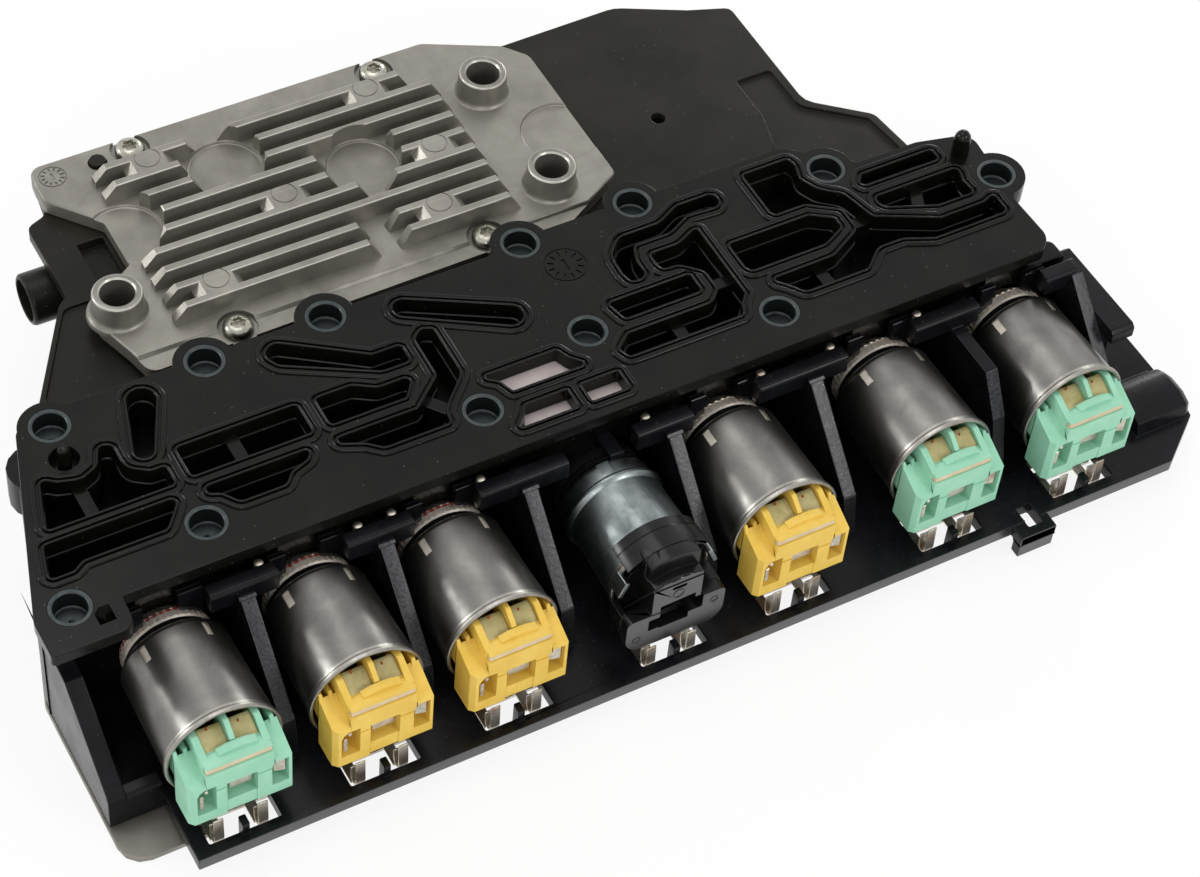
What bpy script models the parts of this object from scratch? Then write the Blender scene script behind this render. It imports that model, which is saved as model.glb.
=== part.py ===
"""Transmission control module: a moulded oil manifold over a row of seven solenoids,
with a finned heat sink on a rear electronics housing and an aluminium base plate.

Sizes are in millimetres and become metres where a mesh is made. X runs along the row of
solenoids, Y runs back to the heat sink, Z is up from the underside of the base plate.
"""
import math

import bmesh
import bpy
from mathutils import Matrix, Vector
from mathutils.geometry import intersect_line_line_2d

MM = 0.001
GAP = 0.3                     # between pieces that touch

# Heights above the floor
BASE_T = 1.4                  # aluminium base plate
TRAY_Z = 7.4                  # top of the tray floor
TRAY_T = 3.5
DECK_Z = 31.1                 # top of the deck that the manifold lies on
SEAL_Z = 45.4                 # sealing face of the manifold
AXIS_Z = 23.8                 # axis of the solenoids
COVER_Z = 35.4                # top of the rear housing

# Manifold
PLATE_T = 3.0                 # top plate, overhanging all round
POCKET_DEPTH = 12.0
FLOOR_T = SEAL_Z - POCKET_DEPTH - DECK_Z - GAP
LIP_W = 2.2                   # raised sealing lip round each channel
LIP_H = 0.5
RIB_DROP = 2.0                # cross ribs lie this far under the sealing face
RIB_W = 3.0
WINDOW_DEPTH = 3.0
SCREEN_T = 1.2

# Bolt bushings
BUSH_R = 4.6
BUSH_WALL = 1.0
BUSH_H = 5.4
LOBE_WALL = 2.2

# Solenoids
CAN_R = 12.0                  # at the shoulder
RIM_R = 12.9                  # at the open end
CAN_WALL = 0.8
CAN_BACK = 2.5                # shoulder, measured forward from the manifold's front edge
CAN_FRONT = 28.2
CORE_R = 5.2
PIN_R = 0.9
SNOUT_R = 5.0
NOZZLE_R = 7.0
WASHER_R = 10.9
TRAVEL = 1.5                  # stroke of a plunger
COIL_GAP = 0.4                # between a bobbin flange and the can
PLUG_GAP = 0.25               # between a connector's plug and the can
PLUG_BACK = 23.0
SWITCH_SHRINK = 1.1           # the on-off solenoid's can is this much slimmer
CAN_TO_STRUT = 0.8            # between the last can and the strut beside it
CONN_FRONT = 36.0
CONN_HALF = 11.2
CONN_TOP = 1.7                # from the axis
CONN_BOTTOM = 10.6
SWITCH_BOTTOM = 12.0
TAB_GAP = 0.6                 # between a block and the spring tabs under it
SOLENOID_X = (-95.4, -63.7, -32.5, 5.0, 36.1, 76.1, 111.4)
SWITCH = 3                    # place in the row of the on-off solenoid
COLOURS = ("mint", "yellow", "yellow", "black", "yellow", "mint", "mint")

# Solenoid frame
FRAME_LEFT = -118.6
FRAME_WALL = 3.0
BAY_BACK = 8.5                # wall that the snouts enter
BAY_WALL = 6.0
DECK_BACK = 51.5
TRAY_FRONT = -40.5
TRAY_LEFT = -107.0
TRAY_RIGHT = 146.5
SLOT_HALF = 8.0
SLOT_Y = (-37.7, -26.5)
STRUT_W = 3.3
STRUT_X = (-79.5, -48.1, -14.5, 20.5, 56.1, 94.0)
BAR_X = ((-87.0, -71.7), (-56.3, -41.0), (-25.7, -4.6), (12.0, 25.9), (42.3, 65.0), (82.5, 99.6), (117.5, 126.0))
BAR_Y = (-3.9, -0.3)
BAR_Z = (34.6, 39.7)
HOOK_X = (90.3, 99.8)
HOOK_Y = -44.5
HOOK_T = 2.8

# Rear housing and heat sink
HOUSING_WALL = 2.5
COVER_T = 3.2
HOUSING_FRONT = 53.2
SINK_T = 3.7
SINK_Z = COVER_Z + GAP + SINK_T
FIN_H = 4.7
FIN_TOP_W = 1.6
FIN_DRAFT = 0.5
FIN_PITCH = 5.67
FIN_FIRST_Y = 112.8           # middle of the rearmost fin
BOSS_R = 5.6
BOSS_HOLE_R = 3.9
BOSSES = ((-73.1, 75.8), (29.8, 103.4), (30.2, 70.2))
SCREWS = ((-51.5, 120.0), (9.7, 119.6), (-51.6, 60.8), (9.7, 62.0))
SCREW_R = 3.4
SHANK_R = 2.0
TUBE_R = 6.1
TUBE_WALL = 1.3
TUBE_Y = 99.4
TUBE_Z = 25.0
TUBE_LEFT = -86.3
TUBE_ROOT = -62.0
BOARD_T = 1.2
BOARD = ((-58.0, 66.0), (12.0, 114.0))

BUSHINGS = ((-100.3, 47.3), (-114.4, 2.3), (-81.5, 10.2), (-17.0, 12.7), (13.7, 22.8), (54.5, 10.0),
            (86.5, 43.0), (121.5, 25.1), (-64.2, 50.0), (-35.6, 50.6), (12.5, 52.0), (41.1, 52.2))

# Plan of the manifold's top plate: corner, fillet radius
PLATE = ((-122.3, -7.6, 1), (-122.3, 1.9, 6), (-107.2, 49.0, 3), (-100.0, 51.4, 0), (4.0, 51.4, 3),
         (10.0, 53.4, 3), (80.5, 53.2, 5), (94.3, 41.7, 2), (110.0, 41.6, 6), (123.3, 38.5, 4),
         (121.0, 16.0, 1), (121.4, 3.5, 5), (118.0, 0.4, 3), (-104.0, 0.4, 0.8), (-104.4, -7.6, 3))
BLOCK = ((-117.5, 3.2, 3), (-118.5, 8.0, 3), (-106.0, 47.0, 4), (-100.0, 49.7, 2), (79.0, 49.7, 4),
         (92.0, 40.0, 3), (112.0, 39.4, 3), (119.0, 30.0, 4), (119.0, 3.2, 3))

# Oil channels: plan corners and fillets, read as the opening at the sealing face
CHANNELS = {
    "corner_port": ((-111.6, 21.8, 1), (-107.6, 34.5, 1), (-105.0, 32.4, 2), (-99.9, 30.9, 4),
                    (-95.6, 32.8, 3), (-93.4, 37.8, 2), (-90.9, 36.6, 1.5), (-91.0, 30.0, 4),
                    (-86.5, 26.9, 3), (-83.2, 26.9, 0.8), (-83.2, 21.8, 1)),
    "front_port_1": ((-113.4, 18.4, 1), (-84.2, 18.4, 1.5), (-86.6, 15.2, 3), (-89.4, 11.8, 2),
                     (-107.8, 11.8, 2), (-110.4, 10.1, 2), (-115.6, 10.1, 1)),
    "upper_port_1": ((-79.4, 22.2, 1), (-79.4, 30.4, 1), (-52.0, 30.4, 1), (-52.0, 22.2, 1)),
    "front_port_2": ((-77.8, 18.4, 1), (-54.5, 18.4, 1), (-56.0, 16.2, 2), (-60.6, 14.6, 3),
                     (-62.8, 12.0, 2), (-73.0, 12.0, 2), (-75.6, 15.6, 3), (-78.4, 16.8, 1)),
    "long_channel": ((-52.6, 45.6, 2.2), (-49.4, 48.2, 2.2), (-31.6, 36.0, 2), (-24.9, 36.0, 1),
                     (-24.9, 31.2, 1), (-31.5, 31.2, 3), (-50.6, 42.0, 2.2)),
    "upper_port_2": ((-47.8, 22.4, 1), (-47.8, 30.2, 1), (-39.3, 30.2, 3), (-34.5, 27.2, 3),
                     (-26.6, 27.2, 1), (-30.2, 22.4, 1)),
    "hook_channel": ((-48.1, 18.5, 1), (-29.2, 18.5, 2), (-21.5, 25.0, 2), (-21.3, 36.2, 1.5),
                     (-18.8, 38.2, 1), (-16.5, 37.2, 1), (-16.7, 23.5, 4), (-22.4, 18.0, 2),
                     (-24.6, 15.2, 2), (-24.9, 12.2, 1), (-40.2, 12.2, 2), (-43.4, 15.0, 3),
                     (-48.3, 17.2, 1)),
    "square_port": ((21.3, 27.6, 1), (41.8, 27.6, 1), (41.8, 22.2, 1), (22.6, 22.2, 1)),
    "great_hook": ((36.8, 36.5, 1), (44.5, 36.5, 4), (49.2, 38.7, 1), (50.1, 38.7, 0.6),
                   (50.1, 17.6, 1), (47.8, 15.2, 2), (46.6, 12.3, 1), (18.2, 12.3, 1),
                   (17.2, 14.8, 1), (21.2, 18.1, 1), (42.4, 18.1, 3), (45.5, 21.0, 3),
                   (45.5, 27.0, 4), (41.0, 31.2, 3), (36.8, 31.4, 1.5)),
    "spoon_channel": ((28.6, 33.5, 1.8), (28.8, 39.5, 4), (33.0, 43.8, 4), (43.6, 43.8, 4),
                      (49.6, 46.8, 4), (58.8, 46.8, 1.8), (58.8, 42.8, 1.8), (50.0, 43.4, 3),
                      (44.0, 40.4, 4), (34.5, 40.4, 2), (33.0, 36.5, 3), (33.0, 31.0, 1.8),
                      (29.0, 31.0, 1.8)),
    "pentagon_port": ((54.2, 31.7, 1), (75.0, 31.7, 2), (79.9, 28.5, 1.5), (79.9, 25.6, 1.5),
                      (74.0, 22.7, 2), (54.2, 22.7, 1.5)),
    "river_channel": ((67.8, 48.9, 1), (79.6, 48.9, 1), (80.2, 46.6, 2), (78.8, 42.5, 4),
                      (81.0, 37.8, 5), (85.6, 34.2, 4), (88.0, 25.2, 2), (94.0, 22.2, 4),
                      (101.8, 18.3, 3), (114.0, 18.3, 1), (117.0, 19.6, 0.8), (117.0, 13.9, 1.5),
                      (97.4, 13.9, 3), (90.5, 16.9, 4), (84.0, 16.9, 4), (78.8, 12.3, 2),
                      (62.6, 12.3, 2), (60.0, 15.8, 2), (57.2, 18.5, 1), (74.2, 18.7, 4),
                      (83.2, 23.4, 3), (83.2, 30.2, 3), (76.0, 35.2, 2), (67.8, 35.2, 1)),
    "back_port": ((90.2, 34.5, 1), (92.8, 37.6, 1), (111.6, 37.6, 1), (111.6, 34.4, 1)),
    "right_port": ((91.8, 30.2, 1), (114.1, 30.2, 1), (112.9, 26.6, 3), (113.3, 22.2, 1),
                   (103.6, 22.2, 3), (91.8, 27.0, 2)),
}
# Straight channels with round ends: first centre and radius, second centre and radius
SLOTS = {
    "keyhole_channel": ((-85.5, 32.7, 2.2), (-80.6, 45.4, 3.1)),
    "slanted_channel": ((-19.5, 45.3, 2.4), (0.5, 33.6, 2.8)),
}
# Shallow windows over the screen plate
WINDOWS = (
    ((-13.4, 20.5, 0.5), (4.6, 20.5, 0.5), (5.8, 17.6, 2), (8.8, 14.4, 0.5), (-8.9, 14.4, 0.5),
     (-10.2, 18.0, 3)),
    ((-8.4, 9.7, 0.5), (1.5, 9.7, 0.3), (1.5, 4.7, 0.3), (-12.8, 4.7, 0.5), (-9.6, 7.8, 2)),
    ((5.0, 9.7, 0.3), (13.9, 9.7, 0.5), (13.9, 4.7, 0.5), (5.0, 4.7, 0.3)),
)
SCREEN = ((-14.0, 21.3, 0), (5.2, 21.3, 1), (6.6, 17.8, 2), (9.6, 13.4, 1), (14.9, 12.0, 1),
          (14.9, 4.2, 1), (-11.6, 4.2, 1), (-9.4, 8.0, 1), (-8.6, 13.4, 1), (-11.0, 18.2, 2))
# Hole beside the front bushing, its corner cut off to clear it
KEY_HOLE = ((-110.8, -4.3), (-107.2, -4.3), (-107.2, -0.1), (-109.6, -0.1), (-110.8, -1.4))
# Cross ribs standing in the channels: middle, length, turn in degrees
RIBS = ((-100.8, 27.0, 14.0, 90), (-67.3, 26.3, 9.6, 90), (-24.8, 20.0, 8.0, -52), (32.9, 15.2, 7.2, 90),
        (47.8, 24.2, 6.4, 0), (70.0, 15.5, 7.6, 90), (85.6, 27.0, 6.4, 0), (101.4, 26.6, 9.0, 66))

# Heat sink fins: row counted from the back, ends of each length of fin
FINS = ((0, -60.2, -41.2), (0, -30.2, 12.2), (1, -60.2, -45.0), (1, -25.7, 17.8),
        (2, -56.2, -44.5), (2, -26.2, 17.8), (3, -53.7, -16.8), (3, 2.7, 17.8),
        (4, -55.7, -16.6), (4, 0.6, 17.8), (5, -60.5, -11.7), (5, -1.9, 17.8), (6, -60.7, 17.8),
        (7, -60.5, -17.1), (7, -7.1, 17.8), (8, -60.7, -17.1), (8, -6.8, 17.8))
# Webs of fin height between a row and the next, for the ejector pins: row, ends
WEBS = ((0, -54.5, -47.0), (0, -0.2, 7.0), (4, -31.5, -23.7), (4, 6.3, 13.4), (7, -55.5, -48.0), (7, -1.2, 6.3))
EJECTOR_R = 2.9
DISHES = ((-34.5, 105.2, 8.8), (-6.0, 92.9, 8.6), (-62.8, 96.2, 8.8), (40.3, 84.0, 9.4))
DISH_DEPTH = 0.8
SINK = ((-75.2, 118.0, 3), (-74.6, 123.6, 4), (24.0, 123.8, 4), (41.0, 115.2, 5), (45.6, 109.6, 4),
        (45.6, 67.2, 2), (29.4, 58.2, 3), (-73.6, 57.1, 3), (-75.5, 64.5, 3), (-79.0, 75.0, 5),
        (-74.0, 82.0, 3), (-65.5, 87.6, 1.5), (-65.5, 101.6, 2), (-75.2, 113.0, 2))
HOUSING = ((-98.5, 53.2, 0.8), (-98.0, 61.0, 3), (-83.0, 86.0, 3), (-80.5, 88.0, 1), (-80.5, 110.6, 2),
           (-75.3, 112.6, 2), (-74.0, 121.6, 2), (22.0, 121.6, 3), (38.0, 118.6, 3), (74.0, 119.3, 8),
           (90.0, 111.2, 6), (100.0, 107.6, 2), (100.0, 72.4, 5), (112.9, 61.6, 3), (115.2, 44.4, 1), (98.4, 44.4, 2), (92.0, HOUSING_FRONT, 2))
CHANNEL_PANEL = ((88.4, 84.7, 0.5), (97.6, 84.7, 0.5), (97.8, 71.6, 4), (110.8, 60.8, 1),
                 (112.8, 46.6, 1), (99.5, 46.6, 1), (94.0, 55.0, 1), (80.0, 55.0, 1), (86.0, 63.0, 4), (88.4, 72.0, 4))
# Body under the cover: set in on the left, behind the socket tube
HOUSING_BODY = ((-97.9, 53.8, 0.8), (-97.4, 61.0, 3), (-83.4, 84.0, 2), (-66.0, 86.0, 2), (-64.5, 112.0, 2),
                (-60.0, 120.4, 3), (22.0, 120.6, 3), (38.0, 117.6, 3), (74.0, 118.3, 8), (89.6, 110.4, 6),
                (99.2, 107.0, 2), (99.2, 72.2, 5), (112.0, 61.2, 3), (114.4, 45.0, 1), (98.7, 45.0, 2),
                (92.3, HOUSING_FRONT + 0.6, 2))
LEFT_PANEL = ((-95.6, 55.0, 1), (-95.6, 62.5, 3), (-82.4, 84.6, 2), (-68.0, 84.6, 1), (-68.0, 55.0, 1))


def rounded(corners, steps=2):
    """Plan outline: each corner (x, y, radius) becomes an arc, the small ones a plain chamfer."""
    outline = []
    count = len(corners)
    for i, (x, y, radius) in enumerate(corners):
        here = Vector((x, y))
        before = Vector(corners[i - 1][:2]) - here
        after = Vector(corners[(i + 1) % count][:2]) - here
        half = before.angle(after) / 2
        reach = radius / math.tan(half)
        if radius <= 0 or half > math.radians(85):
            outline.append((x, y))
            continue
        reach = min(reach, 0.48 * before.length, 0.48 * after.length)
        radius = reach * math.tan(half)
        start = here + before.normalized() * reach
        end = here + after.normalized() * reach
        centre = here + (before.normalized() + after.normalized()).normalized() * radius / math.sin(half)
        first = (start - centre).angle_signed(Vector((1, 0)))
        sweep = (end - centre).angle_signed(start - centre)
        pieces = 1 if radius <= 1.5 else steps
        for k in range(pieces + 1):
            a = first + sweep * k / pieces
            outline.append((centre.x + radius * math.cos(a), centre.y + radius * math.sin(a)))
    return outline


def grown(outline, distance):
    """The outline moved outwards by a distance along its corner bisectors."""
    area = sum(a[0] * b[1] - b[0] * a[1] for a, b in zip(outline, outline[1:] + outline[:1]))
    side = 1 if area > 0 else -1
    result = []
    for i, point in enumerate(outline):
        here = Vector(point)
        one = (here - Vector(outline[i - 1])).normalized()
        two = (Vector(outline[(i + 1) % len(outline)]) - here).normalized()
        normal = (Vector((one.y, -one.x)) + Vector((two.y, -two.x))).normalized()
        reach = distance / max(0.5, math.sqrt(max(0.0, (1 + one.dot(two)) / 2)))
        result.append(tuple(here + side * normal * reach))
    return untangled(result)


def untangled(outline):
    """The outline without the small loops that moving it leaves at tight corners."""
    points = [Vector(point) for point in outline]
    for _ in range(2):
        points = points[len(points) // 2:] + points[:len(points) // 2]
        i = 0
        while i < len(points) - 3:
            for j in range(min(i + 14, len(points) - 2), i + 1, -1):
                crossing = intersect_line_line_2d(points[i], points[i + 1], points[j], points[j + 1])
                if crossing:
                    points[i + 1:j + 1] = [crossing]
                    break
            i += 1
    return [tuple(point) for point, last in zip(points, points[-1:] + points[:-1]) if (point - last).length > 0.05]


def circle(x, y, radius, steps=16):
    turns = (2 * math.pi * k / steps for k in range(steps))
    return [(x + radius * math.cos(a), y + radius * math.sin(a)) for a in turns]


def stadium(first, second, steps=6):
    """Outline round two circles (x, y, radius) and the straight sides between them."""
    heading = math.atan2(second[1] - first[1], second[0] - first[0])
    outline = []
    for (x, y, radius), start in ((first, heading + math.pi / 2), (second, heading - math.pi / 2)):
        for k in range(steps + 1):
            a = start + math.pi * k / steps
            outline.append((x + radius * math.cos(a), y + radius * math.sin(a)))
    return outline


def box(x0, x1, y0, y1):
    return [(x0, y0), (x1, y0), (x1, y1), (x0, y1)]


PLACE = {"Z": lambda a, b, c: (a, b, c), "X": lambda a, b, c: (c, a, b), "Y": lambda a, b, c: (a, c, b)}


def loft(*sections, axis="Z"):
    """Closed body through outlines of equal point count: (outline, level), ..."""
    bm = bmesh.new()
    rows = [[bm.verts.new(Vector(PLACE[axis](a, b, level)) * MM) for a, b in outline]
            for outline, level in sections]
    for low, high in zip(rows, rows[1:]):
        for i in range(len(low)):
            j = (i + 1) % len(low)
            bm.faces.new((low[i], low[j], high[j], high[i]))
    bm.faces.new(rows[0])
    bm.faces.new(rows[-1])
    bmesh.ops.recalc_face_normals(bm, faces=bm.faces)
    return bm


def prism(outline, low, high, axis="Z"):
    return loft((outline, low), (outline, high), axis=axis)


def turned(profile, steps, closed=True):
    """Body of revolution about Z from (radius, height) points."""
    bm = bmesh.new()
    chain = [bm.verts.new((r * MM, 0, h * MM)) for r, h in profile]
    ends = chain[1:] + chain[:1] if closed else chain[1:]
    edges = [bm.edges.new(pair) for pair in zip(chain, ends)]
    bmesh.ops.spin(bm, geom=chain + edges, cent=(0, 0, 0), axis=(0, 0, 1),
                   angle=2 * math.pi, steps=steps, use_merge=True)
    bmesh.ops.remove_doubles(bm, verts=bm.verts, dist=1e-7)
    bmesh.ops.recalc_face_normals(bm, faces=bm.faces)
    return bm


def moved(bm, x=0.0, y=0.0, z=0.0, turn=None):
    if turn:
        bmesh.ops.transform(bm, matrix=turn, verts=bm.verts)
    bmesh.ops.translate(bm, vec=Vector((x, y, z)) * MM, verts=bm.verts)
    return bm


def together(bodies):
    """One mesh from several bodies that don't meet."""
    whole = bmesh.new()
    for bm in bodies:
        mesh = bpy.data.meshes.new("loose")
        bm.to_mesh(mesh)
        whole.from_mesh(mesh)
        bpy.data.meshes.remove(mesh)
    return whole


LYING = Matrix.Rotation(math.radians(90), 4, "X")    # a turned piece's height points forward
SIDEWAYS = Matrix.Rotation(math.radians(-90), 4, "Y")   # a turned piece's height points to -X


def material(name, colour, roughness, metallic=0.0):
    made = bpy.data.materials.new(name)
    made.use_nodes = True
    shader = made.node_tree.nodes["Principled BSDF"]
    shader.inputs["Base Color"].default_value = (*colour, 1.0)
    shader.inputs["Roughness"].default_value = roughness
    shader.inputs["Metallic"].default_value = metallic
    made.diffuse_color = (*colour, 1.0)
    return made


def to_object(name, bm):
    mesh = bpy.data.meshes.new(name)
    bm.to_mesh(mesh)
    obj = bpy.data.objects.new(name, mesh)
    bpy.context.collection.objects.link(obj)
    return obj


def join(*bodies):
    return [("UNION", body) for body in bodies]


def cut(*bodies):
    return [("DIFFERENCE", body) for body in bodies]


def solid(name, bm, finish, *steps):
    """A named piece: the first body, then each list of bodies joined on or cut away in turn."""
    obj = to_object(name, bm)
    for k, (operation, body) in enumerate(sum(steps, [])):
        tool = to_object(f"{name}_tool_{k}", body)
        tool.hide_render = True
        tool.display_type = "WIRE"
        step = obj.modifiers.new(tool.name, "BOOLEAN")
        step.solver = "EXACT"
        step.operation = operation
        step.object = tool
    return finished(obj, finish)


def finished(obj, finish):
    """The piece with its modifiers worked into its mesh, smooth with crisp edges."""
    graph = bpy.context.evaluated_depsgraph_get()
    mesh = bpy.data.meshes.new_from_object(obj.evaluated_get(graph))
    for step in list(obj.modifiers):
        tool = step.object
        obj.modifiers.remove(step)
        bpy.data.objects.remove(tool)
    obj.data = mesh
    mesh.materials.clear()
    mesh.materials.append(finish)
    mesh.shade_smooth()
    mesh.set_sharp_from_angle(angle=math.radians(35))
    return obj


def channel_outlines():
    named = {name: rounded(corners) for name, corners in CHANNELS.items()}
    named.update({name: stadium(*ends) for name, ends in SLOTS.items()})
    return named


def manifold_body(finish):
    """Top plate with lobes, the channel block under it, lips, channels and cross ribs."""
    outlines = channel_outlines()
    floor = SEAL_Z - POCKET_DEPTH
    lobes = [prism(circle(x, y, BUSH_R + LOBE_WALL, 20), SEAL_Z - BUSH_H, SEAL_Z) for x, y in BUSHINGS]
    block = prism(rounded(BLOCK), DECK_Z + GAP, SEAL_Z - PLATE_T / 2)
    lips = [prism(grown(outline, LIP_W), SEAL_Z - PLATE_T / 2, SEAL_Z + LIP_H)
            for outline in outlines.values()]
    pins = [moved(turned(((0, -4.0), (2.1, -4.0), (1.9, 5.0), (1.1, 6.6), (0, 6.9)), 10, False),
                  117.4, 34.3, SEAL_Z)]
    channels = together([prism(outline, floor, SEAL_Z + 2) for outline in outlines.values()])
    windows = together([prism(rounded(w), SEAL_Z - WINDOW_DEPTH - 1, SEAL_Z + 2) for w in WINDOWS])
    screen_bay = prism(grown(rounded(SCREEN), GAP), DECK_Z - 1, SEAL_Z - WINDOW_DEPTH)
    seats = together([prism(circle(x, y, BUSH_R + GAP, 14), SEAL_Z - BUSH_H - GAP, SEAL_Z + 2)
                      for x, y in BUSHINGS])
    bolts = together([prism(circle(x, y, BUSH_R - BUSH_WALL, 14), DECK_Z - 1, SEAL_Z) for x, y in BUSHINGS])
    small = together([prism(KEY_HOLE, SEAL_Z - PLATE_T - 1, SEAL_Z + 1),
                      prism(circle(-100.9, 38.0, 3.0, 10), SEAL_Z - 3.4, SEAL_Z + 1),
                      prism(circle(18.5, 41.9, 4.8, 16), SEAL_Z - 0.5, SEAL_Z + 1)])
    ribs = [moved(prism(box(-length / 2, length / 2, -RIB_W / 2, RIB_W / 2), floor - 1, SEAL_Z - RIB_DROP),
                  x, y, turn=Matrix.Rotation(math.radians(angle), 4, "Z"))
            for x, y, length, angle in RIBS]
    short_pin = moved(turned(((0, -4.0), (1.5, -4.0), (1.3, 2.6), (0.6, 4.0), (0, 4.0)), 8, False),
                      -100.9, 38.0, SEAL_Z)
    return solid("manifold_body", prism(rounded(PLATE), SEAL_Z - PLATE_T, SEAL_Z), finish,
                 join(block, *lobes, *lips, *pins),
                 cut(channels, windows, screen_bay, seats, bolts, small),
                 join(*ribs, short_pin))


def screen_plate(finish):
    top = SEAL_Z - WINDOW_DEPTH - GAP
    return solid("screen_plate", prism(rounded(SCREEN), top - SCREEN_T, top), finish)


def bushing(index, x, y, finish):
    """Steel compression sleeve for a bolt, flush with the sealing face."""
    inner = BUSH_R - BUSH_WALL
    sleeve = turned(((inner, -BUSH_H), (BUSH_R, -BUSH_H), (BUSH_R, 0), (inner, 0)), 14)
    obj = solid(f"bushing_{index}", sleeve, finish)
    obj.location = Vector((x, y, SEAL_Z)) * MM
    return obj


def strut_profile(bent):
    """Side view of the gusset between two solenoids, as (y, z)."""
    front = [(-29.0, TRAY_Z - 1), (-24.0, 25.4), (-18.0, 35.4)] if bent else \
            [(-26.5, TRAY_Z - 1), (-24.0, 17.9), (-5.0, 37.4)]
    return [(BAY_BACK + 1, TRAY_Z - 1), *front, (2.0, front[-1][1]), (2.0, DECK_Z - 1), (BAY_BACK + 1, DECK_Z - 1)]


def solenoid_frame(finish):
    """Deck under the manifold, bay wall, tray floor with terminal slots, struts, bars and hook."""
    foot = BASE_T + GAP
    deck_plan = rounded(((FRAME_LEFT, BAY_BACK, 0), (-118.4, 13.0, 4), (-108.2, 47.5, 3), (-107.0, DECK_BACK, 1),
                         (90.5, DECK_BACK, 3), (98.0, 43.0, 3), (112.0, 43.0, 4), (118.0, 37.0, 4), (118.0, BAY_BACK, 0)))
    lobe = prism(circle(-103.4, 49.6, 6.4, 16), DECK_Z - 10, DECK_Z)
    tray_plan = [(TRAY_LEFT, TRAY_FRONT), (134.3, TRAY_FRONT), (TRAY_RIGHT, -31.0), (TRAY_RIGHT, 6.0),
                 (124.0, BAY_BACK + 2), (FRAME_LEFT + 1, BAY_BACK + 2), (FRAME_LEFT + 1, -20.0), (TRAY_LEFT, -20.0)]
    tray = prism(tray_plan, TRAY_Z - TRAY_T, TRAY_Z)
    end_wall = prism([(BAY_BACK + 1, foot), (-22.0, foot), (-22.0, 11.0), (-21.0, 12.4), (-2.0, 27.6), (BAY_BACK + 1, 28.6)],
                     FRAME_LEFT, FRAME_LEFT + 4.0, axis="X")
    cross_wall = prism([(-22.0, foot), (-22.0, 9.8), (-21.4, 10.6), (-19.0, 11.0), (-19.0, foot)],
                       FRAME_LEFT + 1, -106.6, axis="X")
    end_x = SOLENOID_X[-1] + CAN_R + CAN_TO_STRUT
    right_wall = prism([(BAY_BACK + 1, TRAY_Z - 1), (-12.0, TRAY_Z - 1), (-12.0, 28.4), (-18.6, 28.4), (-18.6, 31.2),
                        (-17.6, 32.2), (8.0, 31.8), (BAY_BACK + 1, 30.0)], end_x + 3.0, end_x + 9.2, axis="X")
    right_strut = prism([(BAY_BACK + 1, TRAY_Z - 1), (-20.0, TRAY_Z - 1), (-20.2, 22.5), (-4.0, 38.6), (0.5, 38.6),
                         (1.5, DECK_Z - 1), (BAY_BACK + 1, DECK_Z - 1)], end_x, end_x + STRUT_W, axis="X")
    barrel_end = [(-15.0, TRAY_Z - 1), (-18.4, TRAY_Z + 3.7), (-21.6, TRAY_Z + 5.0), (-27.0, TRAY_Z + 5.0),
                  (-30.4, TRAY_Z + 3.6), (-31.3, TRAY_Z - 1)]
    barrel_cap = [(-16.6, TRAY_Z - 1), (-19.4, TRAY_Z + 2.8), (-22.2, TRAY_Z + 3.8), (-26.6, TRAY_Z + 3.8),
                  (-29.4, TRAY_Z + 2.6), (-30.2, TRAY_Z - 1)]
    barrel = loft((barrel_end, 131.0), (barrel_end, 144.8), (barrel_cap, TRAY_RIGHT - 0.1), axis="X")
    struts = [prism(strut_profile(k == 5), x - STRUT_W / 2, x + STRUT_W / 2, axis="X")
              for k, x in enumerate(STRUT_X)]
    bars = [prism([(BAR_Y[0], BAR_Z[0]), (BAR_Y[0], BAR_Z[1] - 0.6), (BAR_Y[0] + 0.6, BAR_Z[1]),
                   (BAR_Y[1], BAR_Z[1]), (BAR_Y[1], BAR_Z[0])], left, right, axis="X")
            for left, right in BAR_X]
    hook_arm = prism(box(*HOOK_X, HOOK_Y, TRAY_FRONT + 4), TRAY_Z - 3.0, TRAY_Z - 0.1)
    hook_lip = prism(box(HOOK_X[0] + 0.1, HOOK_X[1] - 0.1, HOOK_Y + 0.1, HOOK_Y + HOOK_T), 0.6, TRAY_Z - 0.8)
    posts = [prism(box(x - 1.0, x + 0.6, SLOT_Y[0] - 1, SLOT_Y[0] + 1.6), TRAY_Z - TRAY_T + 0.1, TRAY_Z + 3.4)
             for x in SOLENOID_X]
    slots = together([prism(box(x - SLOT_HALF, x + SLOT_HALF, *SLOT_Y), 0, TRAY_Z + 1) for x in SOLENOID_X])
    bores = together([prism(circle(x, AXIS_Z, SNOUT_R + GAP, 14), BAY_BACK - 1, BAY_BACK + BAY_WALL + 1, axis="Y")
                      for x in SOLENOID_X])
    hook_hole = prism(box(93.8, 97.5, HOOK_Y + HOOK_T - 0.4, -36.6), 2, TRAY_Z + 1)
    inside = rounded(((FRAME_LEFT + 5, BAY_BACK + BAY_WALL, 0), (-105.5, 44.0, 2), (-103.0, DECK_BACK - 3, 1),
                      (89.5, DECK_BACK - 3, 2), (97.0, 40.0, 2), (111.0, 40.0, 2), (115.0, 35.8, 2),
                      (115.0, BAY_BACK + BAY_WALL, 0)))
    hollow = prism(inside, 0, DECK_Z - FRAME_WALL)
    return solid("solenoid_frame", prism(deck_plan, foot, DECK_Z), finish,
                 join(lobe, tray, end_wall, cross_wall, right_wall, right_strut, barrel, *struts, *bars,
                      hook_arm, hook_lip),
                 cut(slots, bores, hook_hole, hollow),
                 join(*posts))


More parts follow.
